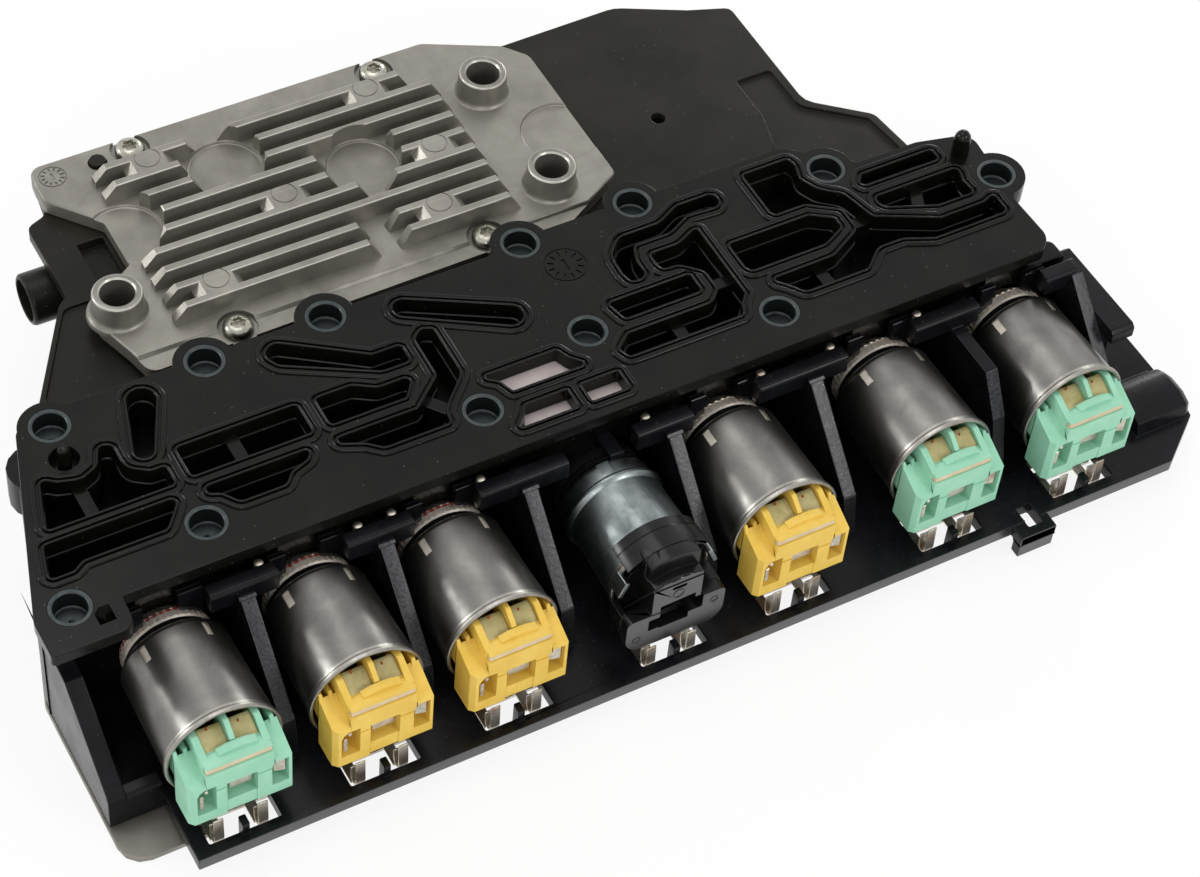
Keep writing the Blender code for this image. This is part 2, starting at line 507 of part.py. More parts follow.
def lead_frame(finish):
    """Stamped strip under the tray with two spring tabs standing through each slot."""
    low = TRAY_Z - TRAY_T - GAP - 0.9
    strip = prism(box(SOLENOID_X[0] - 8, SOLENOID_X[-1] + 8, -30.0, -27.4), low, low + 0.9)
    feet = []
    tabs = []
    for index, x in enumerate(SOLENOID_X):
        top = AXIS_Z - (SWITCH_BOTTOM if index == SWITCH else CONN_BOTTOM) - TAB_GAP
        for side in (-5.4, 4.4):
            feet.append(prism(box(x + side - 1.6, x + side + 1.6, -36.6, -29.0), low + 0.05, low + 0.85))
            tabs.append(prism(box(x + side - 1.5, x + side + 1.5, -36.5, -35.8), low + 0.1, top))
    return solid("lead_frame", strip, finish, join(together(feet), together(tabs)))


def can_bore(distance, switch):
    """Inner radius of a can's flaring wall, at a distance forward from the manifold's front edge."""
    back, front = CAN_R - CAN_WALL, RIM_R - 0.9
    share = (distance - CAN_BACK - 2.1) / (CAN_FRONT - CAN_BACK - 2.1)
    return back + (front - back) * share - (SWITCH_SHRINK if switch else 0.0)


def can(name, switch, finish):
    """Deep-drawn can: drilled back, rounded shoulder, flaring wall and a rolled rim."""
    shrink = SWITCH_SHRINK if switch else 0.0
    outer = CAN_R - shrink
    rim = RIM_R - shrink
    inner = outer - CAN_WALL
    profile = [(CORE_R + GAP, CAN_BACK), (outer - 1.5, CAN_BACK), (outer, CAN_BACK + 1.8)]
    if switch:
        profile += [(outer, 7.0), (outer + 0.9, 7.7), (outer + 0.9, 8.6), (outer + 0.1, 9.3)]
    profile += [(rim - 0.3, CAN_FRONT - 1.4), (rim, CAN_FRONT - 0.7), (rim, CAN_FRONT),
                (rim - 0.9, CAN_FRONT), (inner, CAN_BACK + 2.1), (inner - 1.5, CAN_BACK + 1.0),
                (CORE_R + GAP, CAN_BACK + 1.0)]
    return solid(name, turned(profile, 18), finish)


def nozzle(name, finish):
    """Hydraulic snout, spring washer seat and pole core, bored for the plunger's pin."""
    bore = PIN_R + GAP
    back = -(BAY_BACK + BAY_WALL + 0.5)
    profile = ((bore, back), (SNOUT_R - 0.7, back), (SNOUT_R, back + 1), (SNOUT_R, -BAY_BACK + GAP),
               (NOZZLE_R, -BAY_BACK + GAP), (NOZZLE_R, -2.6), (WASHER_R, -2.2), (WASHER_R, 1.2),
               (CAN_R - 3.6, CAN_BACK - GAP), (CORE_R, CAN_BACK - GAP), (CORE_R, 9.0), (bore, 9.0))
    return solid(name, turned(profile, 12), finish)


def coil(name, switch, finish):
    """Bobbin flanges with the winding between them, slid over the pole core."""
    back = can_bore(6.2, switch) - COIL_GAP
    front = can_bore(21.0, switch) - COIL_GAP
    inner = CORE_R + GAP
    profile = ((inner, 4.9), (back - 1.2, 4.9), (back - 0.7, 6.2), (back - 1.5, 6.2), (back - 1.4, 21.0),
               (front, 21.0), (front, 22.6), (inner, 22.6))
    return solid(name, turned(profile, 12), finish)


def plunger(name, finish):
    """Armature and its push pin, free to slide by the stroke."""
    face = 9.0 + GAP + TRAVEL
    tip = -(BAY_BACK + BAY_WALL) + TRAVEL
    profile = ((0, tip), (PIN_R, tip), (PIN_R, face), (CORE_R - 0.1, face), (CORE_R - 0.1, 20.6), (0, 20.6))
    return solid(name, turned(profile, 10, False), finish)


def plug(top, switch, steps=9):
    """Plug that follows the flare of the can's mouth, cut off at a height above the axis."""
    start = math.asin(top / CAN_R)
    sweep = math.pi + 2 * start
    disc = [(math.cos(start - sweep * k / steps), math.sin(start - sweep * k / steps)) for k in range(steps + 1)]
    sections = []
    for distance in (PLUG_BACK, CAN_FRONT + 1):
        radius = can_bore(distance, switch) - PLUG_GAP
        sections.append(([(radius * x, radius * z) for x, z in disc], -distance))
    return loft(*reversed(sections), axis="Y")


def connector(name, finish):
    """Moulded terminal block: plug in the can's mouth, window block, slanted shelf and three fins."""
    block = loft((box(-CONN_HALF, CONN_HALF, -CONN_BOTTOM, CONN_TOP + 3.4), -CAN_FRONT - GAP),
                 (box(1.1 - CONN_HALF, CONN_HALF, -CONN_BOTTOM, CONN_TOP), -CONN_FRONT), axis="Y")
    hood = prism([(-CAN_FRONT - 0.6, 0.0), (-CONN_FRONT, 0.0), (-CONN_FRONT, 5.0), (-CONN_FRONT + 0.8, 6.3),
                  (-33.2, 7.2), (-32.6, 7.2), (-32.6, 4.6), (-CAN_FRONT - 0.6, 4.6)], -7.4, 7.5, axis="X")
    fins = [prism([(-24.0, 1.0), (-24.0, top - 0.4), (-28.8, top), (-35.0, 6.0), (-33.0, 3.0)], left, right, axis="X")
            for left, right, top in ((-7.4, -5.5, 9.0), (-0.7, 0.9, 11.2), (5.6, 7.5, 9.0))]
    windows = together([prism(box(-9.2, -5.4, -7.4, 0.2), -CONN_FRONT - 2, -30.6, axis="Y"),
                        prism(box(-2.8, 3.4, -6.4, -0.9), -CONN_FRONT - 2, -30.6, axis="Y"),
                        prism(box(6.8, 10.2, -7.2, 0.2), -CONN_FRONT - 2, -30.6, axis="Y")])
    return solid(name, block, finish, join(plug(3.0, False), hood, *fins), cut(windows))


def switch_connector(name, finish):
    """Black block of the on-off solenoid with a saddle moulded over the top of its can."""
    half = RIM_R - 0.9
    low = prism(rounded(((-half, -SWITCH_BOTTOM, 2), (half, -SWITCH_BOTTOM, 2), (half, -1.5, 1), (-half, -1.5, 1))),
                -CONN_FRONT, -33.0, axis="Y")
    shoulder = prism(box(-half, half, -6.5, -1.7), -33.6, -CAN_FRONT - GAP, axis="Y")
    high = prism(rounded(((-6.2, -2.0, 0), (5.8, -2.0, 0), (5.8, 7.4, 0.8), (-6.2, 8.2, 0.8))),
                 -CONN_FRONT + 0.1, -CAN_FRONT - GAP + 0.1, axis="Y")
    arc = [math.radians(42 + 96 * k / 10) for k in range(11)]
    inner = RIM_R - 0.6
    band = [((inner + 1.2) * math.cos(a), (inner + 1.2) * math.sin(a)) for a in arc]
    band += [(inner * math.cos(a), inner * math.sin(a)) for a in reversed(arc)]
    saddle = prism(band, -30.4, -23.0, axis="Y")
    bridge = prism(box(-6.0, 5.6, 6.0, inner + 0.5), -CAN_FRONT - 2.4, -CAN_FRONT - GAP - 0.1, axis="Y")
    windows = together([prism(box(-4.0, 3.0, -6.8, 0.2), -CONN_FRONT - 2, -30.6, axis="Y"),
                        prism(box(3.8, 6.4, -5.0, -1.0), -CONN_FRONT - 2, -32.6, axis="Y")])
    return solid(name, low, finish, join(shoulder, high, plug(7.5, True), bridge, saddle), cut(windows))


def solenoid(index, x, colour, finishes):
    """One solenoid: its five pieces share an origin on the axis, under the manifold's edge."""
    switch = index == SWITCH
    stem = f"solenoid_{index + 1}"
    lying = [can(f"{stem}_can", switch, finishes["zinc" if switch else "steel"]),
             nozzle(f"{stem}_nozzle", finishes["bright"]),
             coil(f"{stem}_coil", switch, finishes["bobbin"]),
             plunger(f"{stem}_plunger", finishes["bright"])]
    block = switch_connector if switch else connector
    upright = block(f"{stem}_connector", finishes[colour])
    for piece in (*lying, upright):
        piece.location = Vector((x, 0, AXIS_Z)) * MM
    for piece in lying:
        piece.rotation_euler = (math.radians(90), 0, 0)


def heat_sink(finish):
    """Die-cast slab with interrupted fins, three bolt bosses, dished pads and screw seats."""
    fins = []
    for row, left, right in FINS:
        y = FIN_FIRST_Y - row * FIN_PITCH
        half = FIN_TOP_W / 2
        foot = half + FIN_DRAFT
        taper = 2.2 if left < -53 else FIN_DRAFT
        fins.append(loft((box(left - taper, right + FIN_DRAFT, y - foot, y + foot), SINK_Z - 0.4),
                         (box(left, right, y - half, y + half), SINK_Z + FIN_H)))
    bosses = [moved(turned(((0, -1.0), (BOSS_R + 1.4, -1.0), (BOSS_R + 1.0, 0.6), (BOSS_R + 0.2, 1.6),
                            (BOSS_R, SEAL_Z - SINK_Z), (0, SEAL_Z - SINK_Z)), 20, False), x, y, SINK_Z)
              for x, y in BOSSES]
    webs = []
    discs = []
    for row, left, right in WEBS:
        y = FIN_FIRST_Y - row * FIN_PITCH
        webs.append(loft((box(left - FIN_DRAFT, right + FIN_DRAFT, y - FIN_PITCH, y), SINK_Z - 0.35),
                         (box(left, right, y - FIN_PITCH, y), SINK_Z + FIN_H)))
        discs.append(prism(circle((left + right) / 2, y - FIN_PITCH / 4, EJECTOR_R, 12),
                           SINK_Z + FIN_H - 0.5, SINK_Z + FIN_H + 0.15))
    dishes = together([prism(circle(x, y, r, 20), SINK_Z - DISH_DEPTH, SINK_Z + FIN_H + 2) for x, y, r in DISHES])
    step = prism(box(-80, 48, 55, 61.4), SINK_Z - 0.7, SINK_Z + 0.2)
    bores = together([prism(circle(x, y, BOSS_HOLE_R, 14), SINK_Z - SINK_T - 1, SEAL_Z + 1) for x, y in BOSSES])
    seats = together([prism(circle(x, y, SCREW_R + 1.1, 14), SINK_Z - 1.2, SINK_Z + FIN_H + 2) for x, y in SCREWS])
    holes = together([prism(circle(x, y, SHANK_R + GAP, 10), SINK_Z - SINK_T - 1, SINK_Z) for x, y in SCREWS]
                     + [prism(circle(-59.8, 118.9, 2.3, 10), SINK_Z - SINK_T - 1, SINK_Z + 1)])
    return solid("heat_sink", prism(rounded(SINK), COVER_Z + GAP, SINK_Z), finish,
                 join(together(fins), together(webs), together(discs)), cut(dishes, step), join(*bosses), cut(bores, seats, holes))


def sink_screw(index, x, y, finish):
    """Pan-head screw standing in its counterbore."""
    profile = ((0, -6.0), (SHANK_R, -6.0), (SHANK_R, 0), (SCREW_R, 0), (SCREW_R, 1.0), (2.4, 1.9),
               (1.5, 2.0), (1.3, 1.1), (0, 1.1))
    obj = solid(f"heat_sink_screw_{index}", turned(profile, 12, False), finish)
    obj.location = Vector((x, y, SINK_Z - 1.2 + GAP)) * MM
    return obj


def rear_housing(finish):
    """Electronics housing: overhanging cover, shelled body, board window, borders and socket tube."""
    foot = BASE_T + GAP
    cover = prism(rounded(HOUSING), COVER_Z - COVER_T, COVER_Z)
    body = prism(rounded(HOUSING_BODY), foot, COVER_Z - COVER_T / 2)
    length = TUBE_ROOT - TUBE_LEFT
    tube = moved(turned(((0, 0), (TUBE_R, 0), (TUBE_R, length - 0.6), (TUBE_R - 0.6, length), (0, length)), 20, False),
                 TUBE_ROOT, TUBE_Y, TUBE_Z, turn=SIDEWAYS)
    socket = moved(turned(((0, 0), (TUBE_R - TUBE_WALL, 0), (TUBE_R - TUBE_WALL, 12.0), (0, 12.0)), 20, False),
                   TUBE_LEFT + 11.0, TUBE_Y, TUBE_Z, turn=SIDEWAYS)
    peg = prism(circle(-59.8, 118.9, 2.0, 10), COVER_Z - 1, SINK_Z + 1.0)
    panels = together([prism(rounded(CHANNEL_PANEL), COVER_Z - 0.9, COVER_Z + 1),
                       prism(rounded(LEFT_PANEL), COVER_Z - 0.9, COVER_Z + 1)])
    notch = prism(box(-72.5, -66.5, 89.5, 101.0), COVER_Z - 2.4, COVER_Z + 1)
    (x0, y0), (x1, y1) = BOARD
    window = prism(box(x0 - GAP, x1 + GAP, y0 - GAP, y1 + GAP), COVER_Z - 10, COVER_Z + 1)
    hollow = prism(grown(rounded(HOUSING_BODY), -HOUSING_WALL), 0, COVER_Z - COVER_T)
    holes = together([prism(circle(x, y, SHANK_R + GAP, 10), COVER_Z - 8, COVER_Z + 1) for x, y in SCREWS]
                     + [prism(circle(65.3, 81.7, 1.7, 10), COVER_Z - 8, COVER_Z + 1)])
    return solid("rear_housing", cover, finish,
                 join(body), cut(hollow, panels, notch, window, holes), join(tube, peg), cut(socket))


def circuit_board(finish):
    (x0, y0), (x1, y1) = BOARD
    return solid("circuit_board", prism(box(x0, x1, y0, y1), COVER_Z - BOARD_T, COVER_Z), finish)


def base_plate(finish):
    """Aluminium plate under the whole, with the round-cornered tab at the front left."""
    plan = rounded(((-119.0, -31.9, 5.5), (-98.0, -31.9, 2), (-98.0, -18.0, 2), (122.0, -18.0, 6), (118.0, 42.0, 6),
                    (113.0, 60.0, 5), (99.0, 72.0, 5), (99.0, 106.6, 4), (89.0, 110.0, 6), (73.0, 117.4, 8),
                    (-60.0, 119.6, 3), (-64.0, 111.0, 3), (-66.0, 86.6, 2), (-83.6, 84.4, 3), (-97.8, 60.0, 4),
                    (-107.0, 50.0, 5), (-118.9, 12.0, 6)), 3)
    return solid("base_plate", prism(plan, 0, BASE_T), finish)


def centred(objects):
    """Moves everything so that the origin lies under the middle of the overall box."""
    bpy.context.view_layer.update()
    corners = [obj.matrix_world @ Vector(corner) for obj in objects for corner in obj.bound_box]
    middle = [(min(c[i] for c in corners) + max(c[i] for c in corners)) / 2 for i in (0, 1)]
    for obj in objects:
        obj.location -= Vector((*middle, 0))


def main():
    for obj in list(bpy.data.objects):
        bpy.data.objects.remove(obj)
    finishes = {
        "black": material("black_nylon", (0.012, 0.012, 0.013), 0.42),
        "satin": material("black_frame_nylon", (0.010, 0.010, 0.013), 0.5),
        "steel": material("can_steel", (0.33, 0.33, 0.33), 0.38, 1.0),
        "zinc": material("zinc_plated_steel", (0.40, 0.42, 0.43), 0.3, 1.0),
        "bright": material("turned_steel", (0.55, 0.52, 0.46), 0.35, 1.0),
        "bushing": material("bushing_steel", (0.10, 0.13, 0.15), 0.4, 1.0),
        "aluminium": material("cast_aluminium", (0.50, 0.49, 0.47), 0.36, 1.0),
        "tin": material("tinned_terminal", (0.65, 0.64, 0.60), 0.25, 1.0),
        "mint": material("mint_connector", (0.28, 0.68, 0.46), 0.45),
        "yellow": material("yellow_connector", (0.72, 0.42, 0.04), 0.45),
        "bobbin": material("natural_bobbin", (0.42, 0.37, 0.17), 0.5),
        "screen": material("pale_screen", (0.68, 0.58, 0.56), 0.6),
        "board": material("board_green", (0.03, 0.12, 0.05), 0.5),
    }
    manifold_body(finishes["black"])
    screen_plate(finishes["screen"])
    solenoid_frame(finishes["satin"])
    rear_housing(finishes["black"])
    heat_sink(finishes["aluminium"])
    circuit_board(finishes["board"])
    base_plate(finishes["aluminium"])
    lead_frame(finishes["tin"])
    for index, (x, y) in enumerate(BUSHINGS, 1):
        bushing(index, x, y, finishes["bushing"])
    for index, (x, y) in enumerate(SCREWS, 1):
        sink_screw(index, x, y, finishes["bright"])
    for index, (x, colour) in enumerate(zip(SOLENOID_X, COLOURS)):
        solenoid(index, x, colour, finishes)
    centred(list(bpy.data.objects))


main()
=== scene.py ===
"""Dresses the transmission control module: its pieces, finishes, studio and camera."""
import math

import bpy
from mathutils import Matrix, Vector
from mathutils.geometry import intersect_line_line_2d


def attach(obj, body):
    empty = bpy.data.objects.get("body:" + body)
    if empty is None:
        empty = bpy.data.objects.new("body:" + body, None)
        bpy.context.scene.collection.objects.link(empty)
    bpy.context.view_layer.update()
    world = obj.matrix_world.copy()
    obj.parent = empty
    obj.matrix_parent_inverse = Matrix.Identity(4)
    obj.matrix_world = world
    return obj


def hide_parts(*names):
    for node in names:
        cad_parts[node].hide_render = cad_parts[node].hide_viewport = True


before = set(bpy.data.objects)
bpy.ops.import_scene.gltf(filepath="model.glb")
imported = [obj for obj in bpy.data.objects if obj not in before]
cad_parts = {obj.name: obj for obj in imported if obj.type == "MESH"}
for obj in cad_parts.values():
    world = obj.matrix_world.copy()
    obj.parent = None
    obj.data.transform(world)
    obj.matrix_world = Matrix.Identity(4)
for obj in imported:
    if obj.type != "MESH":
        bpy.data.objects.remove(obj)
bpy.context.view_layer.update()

bl_info = {
    "name": "Transmission control module",
    "version": (1, 0, 0),
    "blender": (4, 5, 0),
    "location": "3D View > Sidebar > Control Module",
    "description": "Models and finishes a solenoid module with its oil manifold and heat sink",
    "category": "Object",
}

MM = 0.001
MIDDLE = Vector((12.1, 39.649, 0.0))      # plan middle of the module on its drawing, in mm

# Heights above the floor, mm
SEAL_Z = 45.4
LIP_TOP = 46.0
AXIS_Z = 23.8
SINK_Z = 39.4
COVER_Z = 35.4
ABOVE = 47.0                              # over every lip, where cutters begin
PLATE_LOW = SEAL_Z - 3.0                  # underside of the manifold's plate

# The frame's front and right ends, and the slot that is staked into each can
FRAME_FRONT = -44.5
FRAME_RIGHT = 146.499
SLOT_Y = -6.4
CONE_FACETS = 80

SOLENOIDS = ((-95.4, "mint"), (-63.7, "yellow"), (-32.5, "yellow"), (5.0, "black"),
             (36.1, "yellow"), (76.1, "mint"), (111.4, "mint"))
BUSHINGS = ((-100.3, 47.3), (-114.4, 2.3), (-81.5, 10.2), (-17.0, 12.7), (13.7, 22.8), (54.5, 10.0),
            (86.5, 43.0), (121.5, 25.1), (-64.2, 50.0), (-35.6, 50.6), (12.5, 52.0), (41.1, 52.2))
SCREWS = ((-51.5, 120.0), (9.7, 119.6), (-51.6, 60.8), (9.7, 62.0))

# Struts between the solenoids, and the contact pins behind the bars
STRUTS = (-79.5, -48.1, -14.5, 20.5, 56.1, 94.0)
PINS = (-74.5, -52.1, -44.4, -23.6, 16.1, 44.9, 62.7, 85.3)

# Heat sink: fins and webs by row counted from the back, and the ends of each length
FIN_H = 4.7
FIN_PITCH = 5.67
FIN_FIRST_Y = 112.8
FINS = ((0, -60.2, -41.2), (0, -30.2, 12.2), (1, -60.2, -45.0), (1, -25.7, 17.8),
        (2, -56.2, -44.5), (2, -26.2, 17.8), (3, -53.7, -16.8), (3, 2.7, 17.8),
        (4, -55.7, -16.6), (4, 0.6, 17.8), (5, -60.5, -11.7), (5, -1.9, 17.8), (6, -60.7, 17.8),
        (7, -60.5, -17.1), (7, -7.1, 17.8), (8, -60.7, -17.1), (8, -6.8, 17.8))
WEBS = ((0, -54.5, -47.0), (0, -0.2, 7.0), (4, -31.5, -23.7), (4, 6.3, 13.4), (7, -55.5, -48.0),
        (7, -1.2, 6.3))
BOSSES = ((-73.1, 75.8), (29.8, 103.4), (30.2, 70.2))
DISHES = ((-34.5, 105.2, 8.8), (-6.0, 92.9, 8.6), (-62.8, 96.2, 8.8), (40.3, 84.0, 9.4))
SINK = ((-75.2, 118.0, 3), (-74.6, 123.6, 4), (24.0, 123.8, 4), (41.0, 115.2, 5), (45.6, 109.6, 4),
        (45.6, 67.2, 2), (29.4, 58.2, 3), (-73.6, 57.1, 3), (-75.5, 64.5, 3), (-79.0, 75.0, 5),
        (-74.0, 82.0, 3), (-65.5, 87.6, 1.5), (-65.5, 101.6, 2), (-75.2, 113.0, 2))

# Plan of the manifold's top plate: corner, fillet radius
PLATE = ((-122.3, -7.6, 1), (-122.3, 1.9, 6), (-107.2, 49.0, 3), (-100.0, 51.4, 0), (4.0, 51.4, 3),
         (10.0, 53.4, 3), (80.5, 53.2, 5), (94.3, 41.7, 2), (110.0, 41.6, 6), (123.3, 38.5, 4),
         (121.0, 16.0, 1), (121.4, 3.5, 5), (118.0, 0.4, 3), (-104.0, 0.4, 0.8), (-104.4, -7.6, 3))
BLOCK = ((-117.5, 3.2, 3), (-118.5, 8.0, 3), (-106.0, 47.0, 4), (-100.0, 49.7, 2), (79.0, 49.7, 4),
         (92.0, 40.0, 3), (112.0, 39.4, 3), (119.0, 30.0, 4), (119.0, 3.2, 3))

# Oil channels: plan corners and fillets, read as the opening at the sealing face
CHANNELS = {
    "corner_port": ((-111.6, 21.8, 1), (-107.6, 34.5, 1), (-105.0, 32.4, 2), (-99.9, 30.9, 4),
                    (-95.6, 32.8, 3), (-93.4, 37.8, 2), (-90.9, 36.6, 1.5), (-91.0, 30.0, 4),
                    (-86.5, 26.9, 3), (-83.2, 26.9, 0.8), (-83.2, 21.8, 1)),
    "front_port_1": ((-113.4, 18.4, 1), (-84.2, 18.4, 1.5), (-86.6, 15.2, 3), (-89.4, 11.8, 2),
                     (-107.8, 11.8, 2), (-110.4, 10.1, 2), (-115.6, 10.1, 1)),
    "upper_port_1": ((-79.4, 22.2, 1), (-79.4, 30.4, 1), (-52.0, 30.4, 1), (-52.0, 22.2, 1)),
    "front_port_2": ((-77.8, 18.4, 1), (-54.5, 18.4, 1), (-56.0, 16.2, 2), (-60.6, 14.6, 3),
                     (-62.8, 12.0, 2), (-73.0, 12.0, 2), (-75.6, 15.6, 3), (-78.4, 16.8, 1)),
    "long_channel": ((-52.6, 45.6, 2.2), (-49.4, 48.2, 2.2), (-31.6, 36.0, 2), (-24.9, 36.0, 1),
                     (-24.9, 31.2, 1), (-31.5, 31.2, 3), (-50.6, 42.0, 2.2)),
    "upper_port_2": ((-47.8, 22.4, 1), (-47.8, 30.2, 1), (-39.3, 30.2, 3), (-34.5, 27.2, 3),
                     (-26.6, 27.2, 1), (-30.2, 22.4, 1)),
    "hook_channel": ((-48.1, 18.5, 1), (-29.2, 18.5, 2), (-21.5, 25.0, 2), (-21.3, 36.2, 1.5),
                     (-18.8, 38.2, 1), (-16.5, 37.2, 1), (-16.7, 23.5, 4), (-22.4, 18.0, 2),
                     (-24.6, 15.2, 2), (-24.9, 12.2, 1), (-40.2, 12.2, 2), (-43.4, 15.0, 3),
                     (-48.3, 17.2, 1)),
    "square_port": ((21.3, 27.6, 1), (41.8, 27.6, 1), (41.8, 22.2, 1), (22.6, 22.2, 1)),
    "great_hook": ((36.8, 36.5, 1), (44.5, 36.5, 4), (49.2, 38.7, 1), (50.1, 38.7, 0.6),
                   (50.1, 17.6, 1), (47.8, 15.2, 2), (46.6, 12.3, 1), (18.2, 12.3, 1),
                   (17.2, 14.8, 1), (21.2, 18.1, 1), (42.4, 18.1, 3), (45.5, 21.0, 3),
                   (45.5, 27.0, 4), (41.0, 31.2, 3), (36.8, 31.4, 1.5)),
    "spoon_channel": ((28.6, 33.5, 1.8), (28.8, 39.5, 4), (33.0, 43.8, 4), (43.6, 43.8, 4),
                      (49.6, 46.8, 4), (58.8, 46.8, 1.8), (58.8, 42.8, 1.8), (50.0, 43.4, 3),
                      (44.0, 40.4, 4), (34.5, 40.4, 2), (33.0, 36.5, 3), (33.0, 31.0, 1.8),
                      (29.0, 31.0, 1.8)),
    "pentagon_port": ((54.2, 31.7, 1), (75.0, 31.7, 2), (79.9, 28.5, 1.5), (79.9, 25.6, 1.5),
                      (74.0, 22.7, 2), (54.2, 22.7, 1.5)),
    "river_channel": ((67.8, 48.9, 1), (79.6, 48.9, 1), (80.2, 46.6, 2), (78.8, 42.5, 4),
                      (81.0, 37.8, 5), (85.6, 34.2, 4), (88.0, 25.2, 2), (94.0, 22.2, 4),
                      (101.8, 18.3, 3), (114.0, 18.3, 1), (117.0, 19.6, 0.8), (117.0, 13.9, 1.5),
                      (97.4, 13.9, 3), (90.5, 16.9, 4), (84.0, 16.9, 4), (78.8, 12.3, 2),
                      (62.6, 12.3, 2), (60.0, 15.8, 2), (57.2, 18.5, 1), (74.2, 18.7, 4),
                      (83.2, 23.4, 3), (83.2, 30.2, 3), (76.0, 35.2, 2), (67.8, 35.2, 1)),
    "back_port": ((90.2, 34.5, 1), (92.8, 37.6, 1), (111.6, 37.6, 1), (111.6, 34.4, 1)),
    "right_port": ((91.8, 30.2, 1), (114.1, 30.2, 1), (112.9, 26.6, 3), (113.3, 22.2, 1),
                   (103.6, 22.2, 3), (91.8, 27.0, 2)),
}
# Straight channels with round ends: first centre and radius, second centre and radius
SLOTS = {
    "keyhole_channel": ((-85.5, 32.7, 2.2), (-80.6, 45.4, 3.1)),
    "slanted_channel": ((-19.5, 45.3, 2.4), (0.5, 33.6, 2.8)),
}
# Shallow windows over the screen plate
WINDOWS = (
    ((-13.4, 20.5, 0.5), (4.6, 20.5, 0.5), (5.8, 17.6, 2), (8.8, 14.4, 0.5), (-8.9, 14.4, 0.5),
     (-10.2, 18.0, 3)),
    ((-8.4, 9.7, 0.5), (1.5, 9.7, 0.3), (1.5, 4.7, 0.3), (-12.8, 4.7, 0.5), (-9.6, 7.8, 2)),
    ((5.0, 9.7, 0.3), (13.9, 9.7, 0.5), (13.9, 4.7, 0.5), (5.0, 4.7, 0.3)),
)
SCREEN = ((-14.0, 21.3, 0), (5.2, 21.3, 1), (6.6, 17.8, 2), (9.6, 13.4, 1), (14.9, 12.0, 1),
          (14.9, 4.2, 1), (-11.6, 4.2, 1), (-9.4, 8.0, 1), (-8.6, 13.4, 1), (-11.0, 18.2, 2))
# Hole beside the front bushing, its corner cut off to clear it
KEY_HOLE = ((-110.8, -4.3), (-107.2, -4.3), (-107.2, -0.1), (-109.6, -0.1), (-110.8, -1.4))
# Round bowl with the short locating pin in it, and the tall pin
BOWL = (-100.9, 38.0)
TALL_PIN = (117.4, 34.3)
# Cross ribs standing in the channels: middle, length, turn in degrees
RIBS = ((-100.8, 27.0, 14.0, 90), (-67.3, 26.3, 9.6, 90), (-24.8, 20.0, 8.0, -52), (32.9, 15.2, 7.2, 90),
        (47.8, 24.2, 6.4, 0), (70.0, 15.5, 7.6, 90), (85.6, 27.0, 6.4, 0), (101.4, 26.6, 9.0, 66))


# Spacing of dust specks and size of tarnish patches, mm
DUST = 2.6
STAIN = 5.0


# Modelling by hand
def at(x, y, z):
    """A point of the drawing, in metres in the module's frame."""
    return (Vector((x, y, z)) - MIDDLE) * MM


def clear():
    if bpy.context.mode != "OBJECT":
        bpy.ops.object.mode_set(mode="OBJECT")
    bpy.ops.object.select_all(action="DESELECT")


def take(obj):
    """Selects one object alone and makes it active."""
    clear()
    obj.select_set(True)
    bpy.context.view_layer.objects.active = obj
    return obj


def edit(obj, mode="VERT"):
    """Opens an object for editing with everything in it selected."""
    take(obj)
    bpy.ops.object.mode_set(mode="EDIT")
    bpy.ops.mesh.select_mode(type=mode)
    bpy.ops.mesh.select_all(action="SELECT")


def done():
    bpy.ops.object.mode_set(mode="OBJECT")


def pick_faces(obj, test):
    """Opens an object with only the faces selected whose middle and normal pass the test."""
    edit(obj, "FACE")
    bpy.ops.mesh.select_all(action="DESELECT")
    done()
    for face in obj.data.polygons:
        middle = face.center / MM + MIDDLE
        face.select = bool(test(middle, face.normal))
    bpy.ops.object.mode_set(mode="EDIT")


def chain(name, points):
    """A line of edges drawn out of one vertex, point by point, on the drawing."""
    clear()
    bpy.ops.mesh.primitive_plane_add(size=MM, location=(0, 0, 0))
    obj = bpy.context.object
    obj.name = name
    bpy.ops.object.mode_set(mode="EDIT")
    bpy.ops.mesh.select_mode(type="VERT")
    bpy.ops.mesh.select_all(action="SELECT")
    bpy.ops.mesh.merge(type="CENTER")
    bpy.ops.transform.translate(value=at(*points[0]))
    for a, b in zip(points, points[1:]):
        bpy.ops.mesh.extrude_vertices_move(TRANSFORM_OT_translate={"value": (Vector(b) - Vector(a)) * MM})
    return obj


def slab(name, outline, low, high, axis="Z"):
    """A plate: its outline drawn, filled and extruded along an axis of the drawing."""
    place = {"Z": lambda a, b, c: (a, b, c),
             "X": lambda a, b, c: (c, a, b),
             "Y": lambda a, b, c: (a, c, b)}[axis]
    obj = chain(name, [place(a, b, low) for a, b in outline])
    bpy.ops.mesh.select_all(action="SELECT")
    bpy.ops.mesh.edge_face_add()
    rise = Vector(place(0, 0, high - low)) * MM
    bpy.ops.mesh.extrude_region_move(TRANSFORM_OT_translate={"value": rise})
    bpy.ops.mesh.select_all(action="SELECT")
    bpy.ops.mesh.normals_make_consistent(inside=False)
    done()
    return obj


def block(name, x0, x1, y0, y1, z0, z1):
    """A cube added at its size and place."""
    clear()
    low, high = at(x0, y0, z0), at(x1, y1, z1)
    bpy.ops.mesh.primitive_cube_add(size=1, location=(low + high) / 2, scale=high - low)
    obj = bpy.context.object
    obj.name = name
    bpy.ops.object.transform_apply(location=True, rotation=True, scale=True)
    return obj


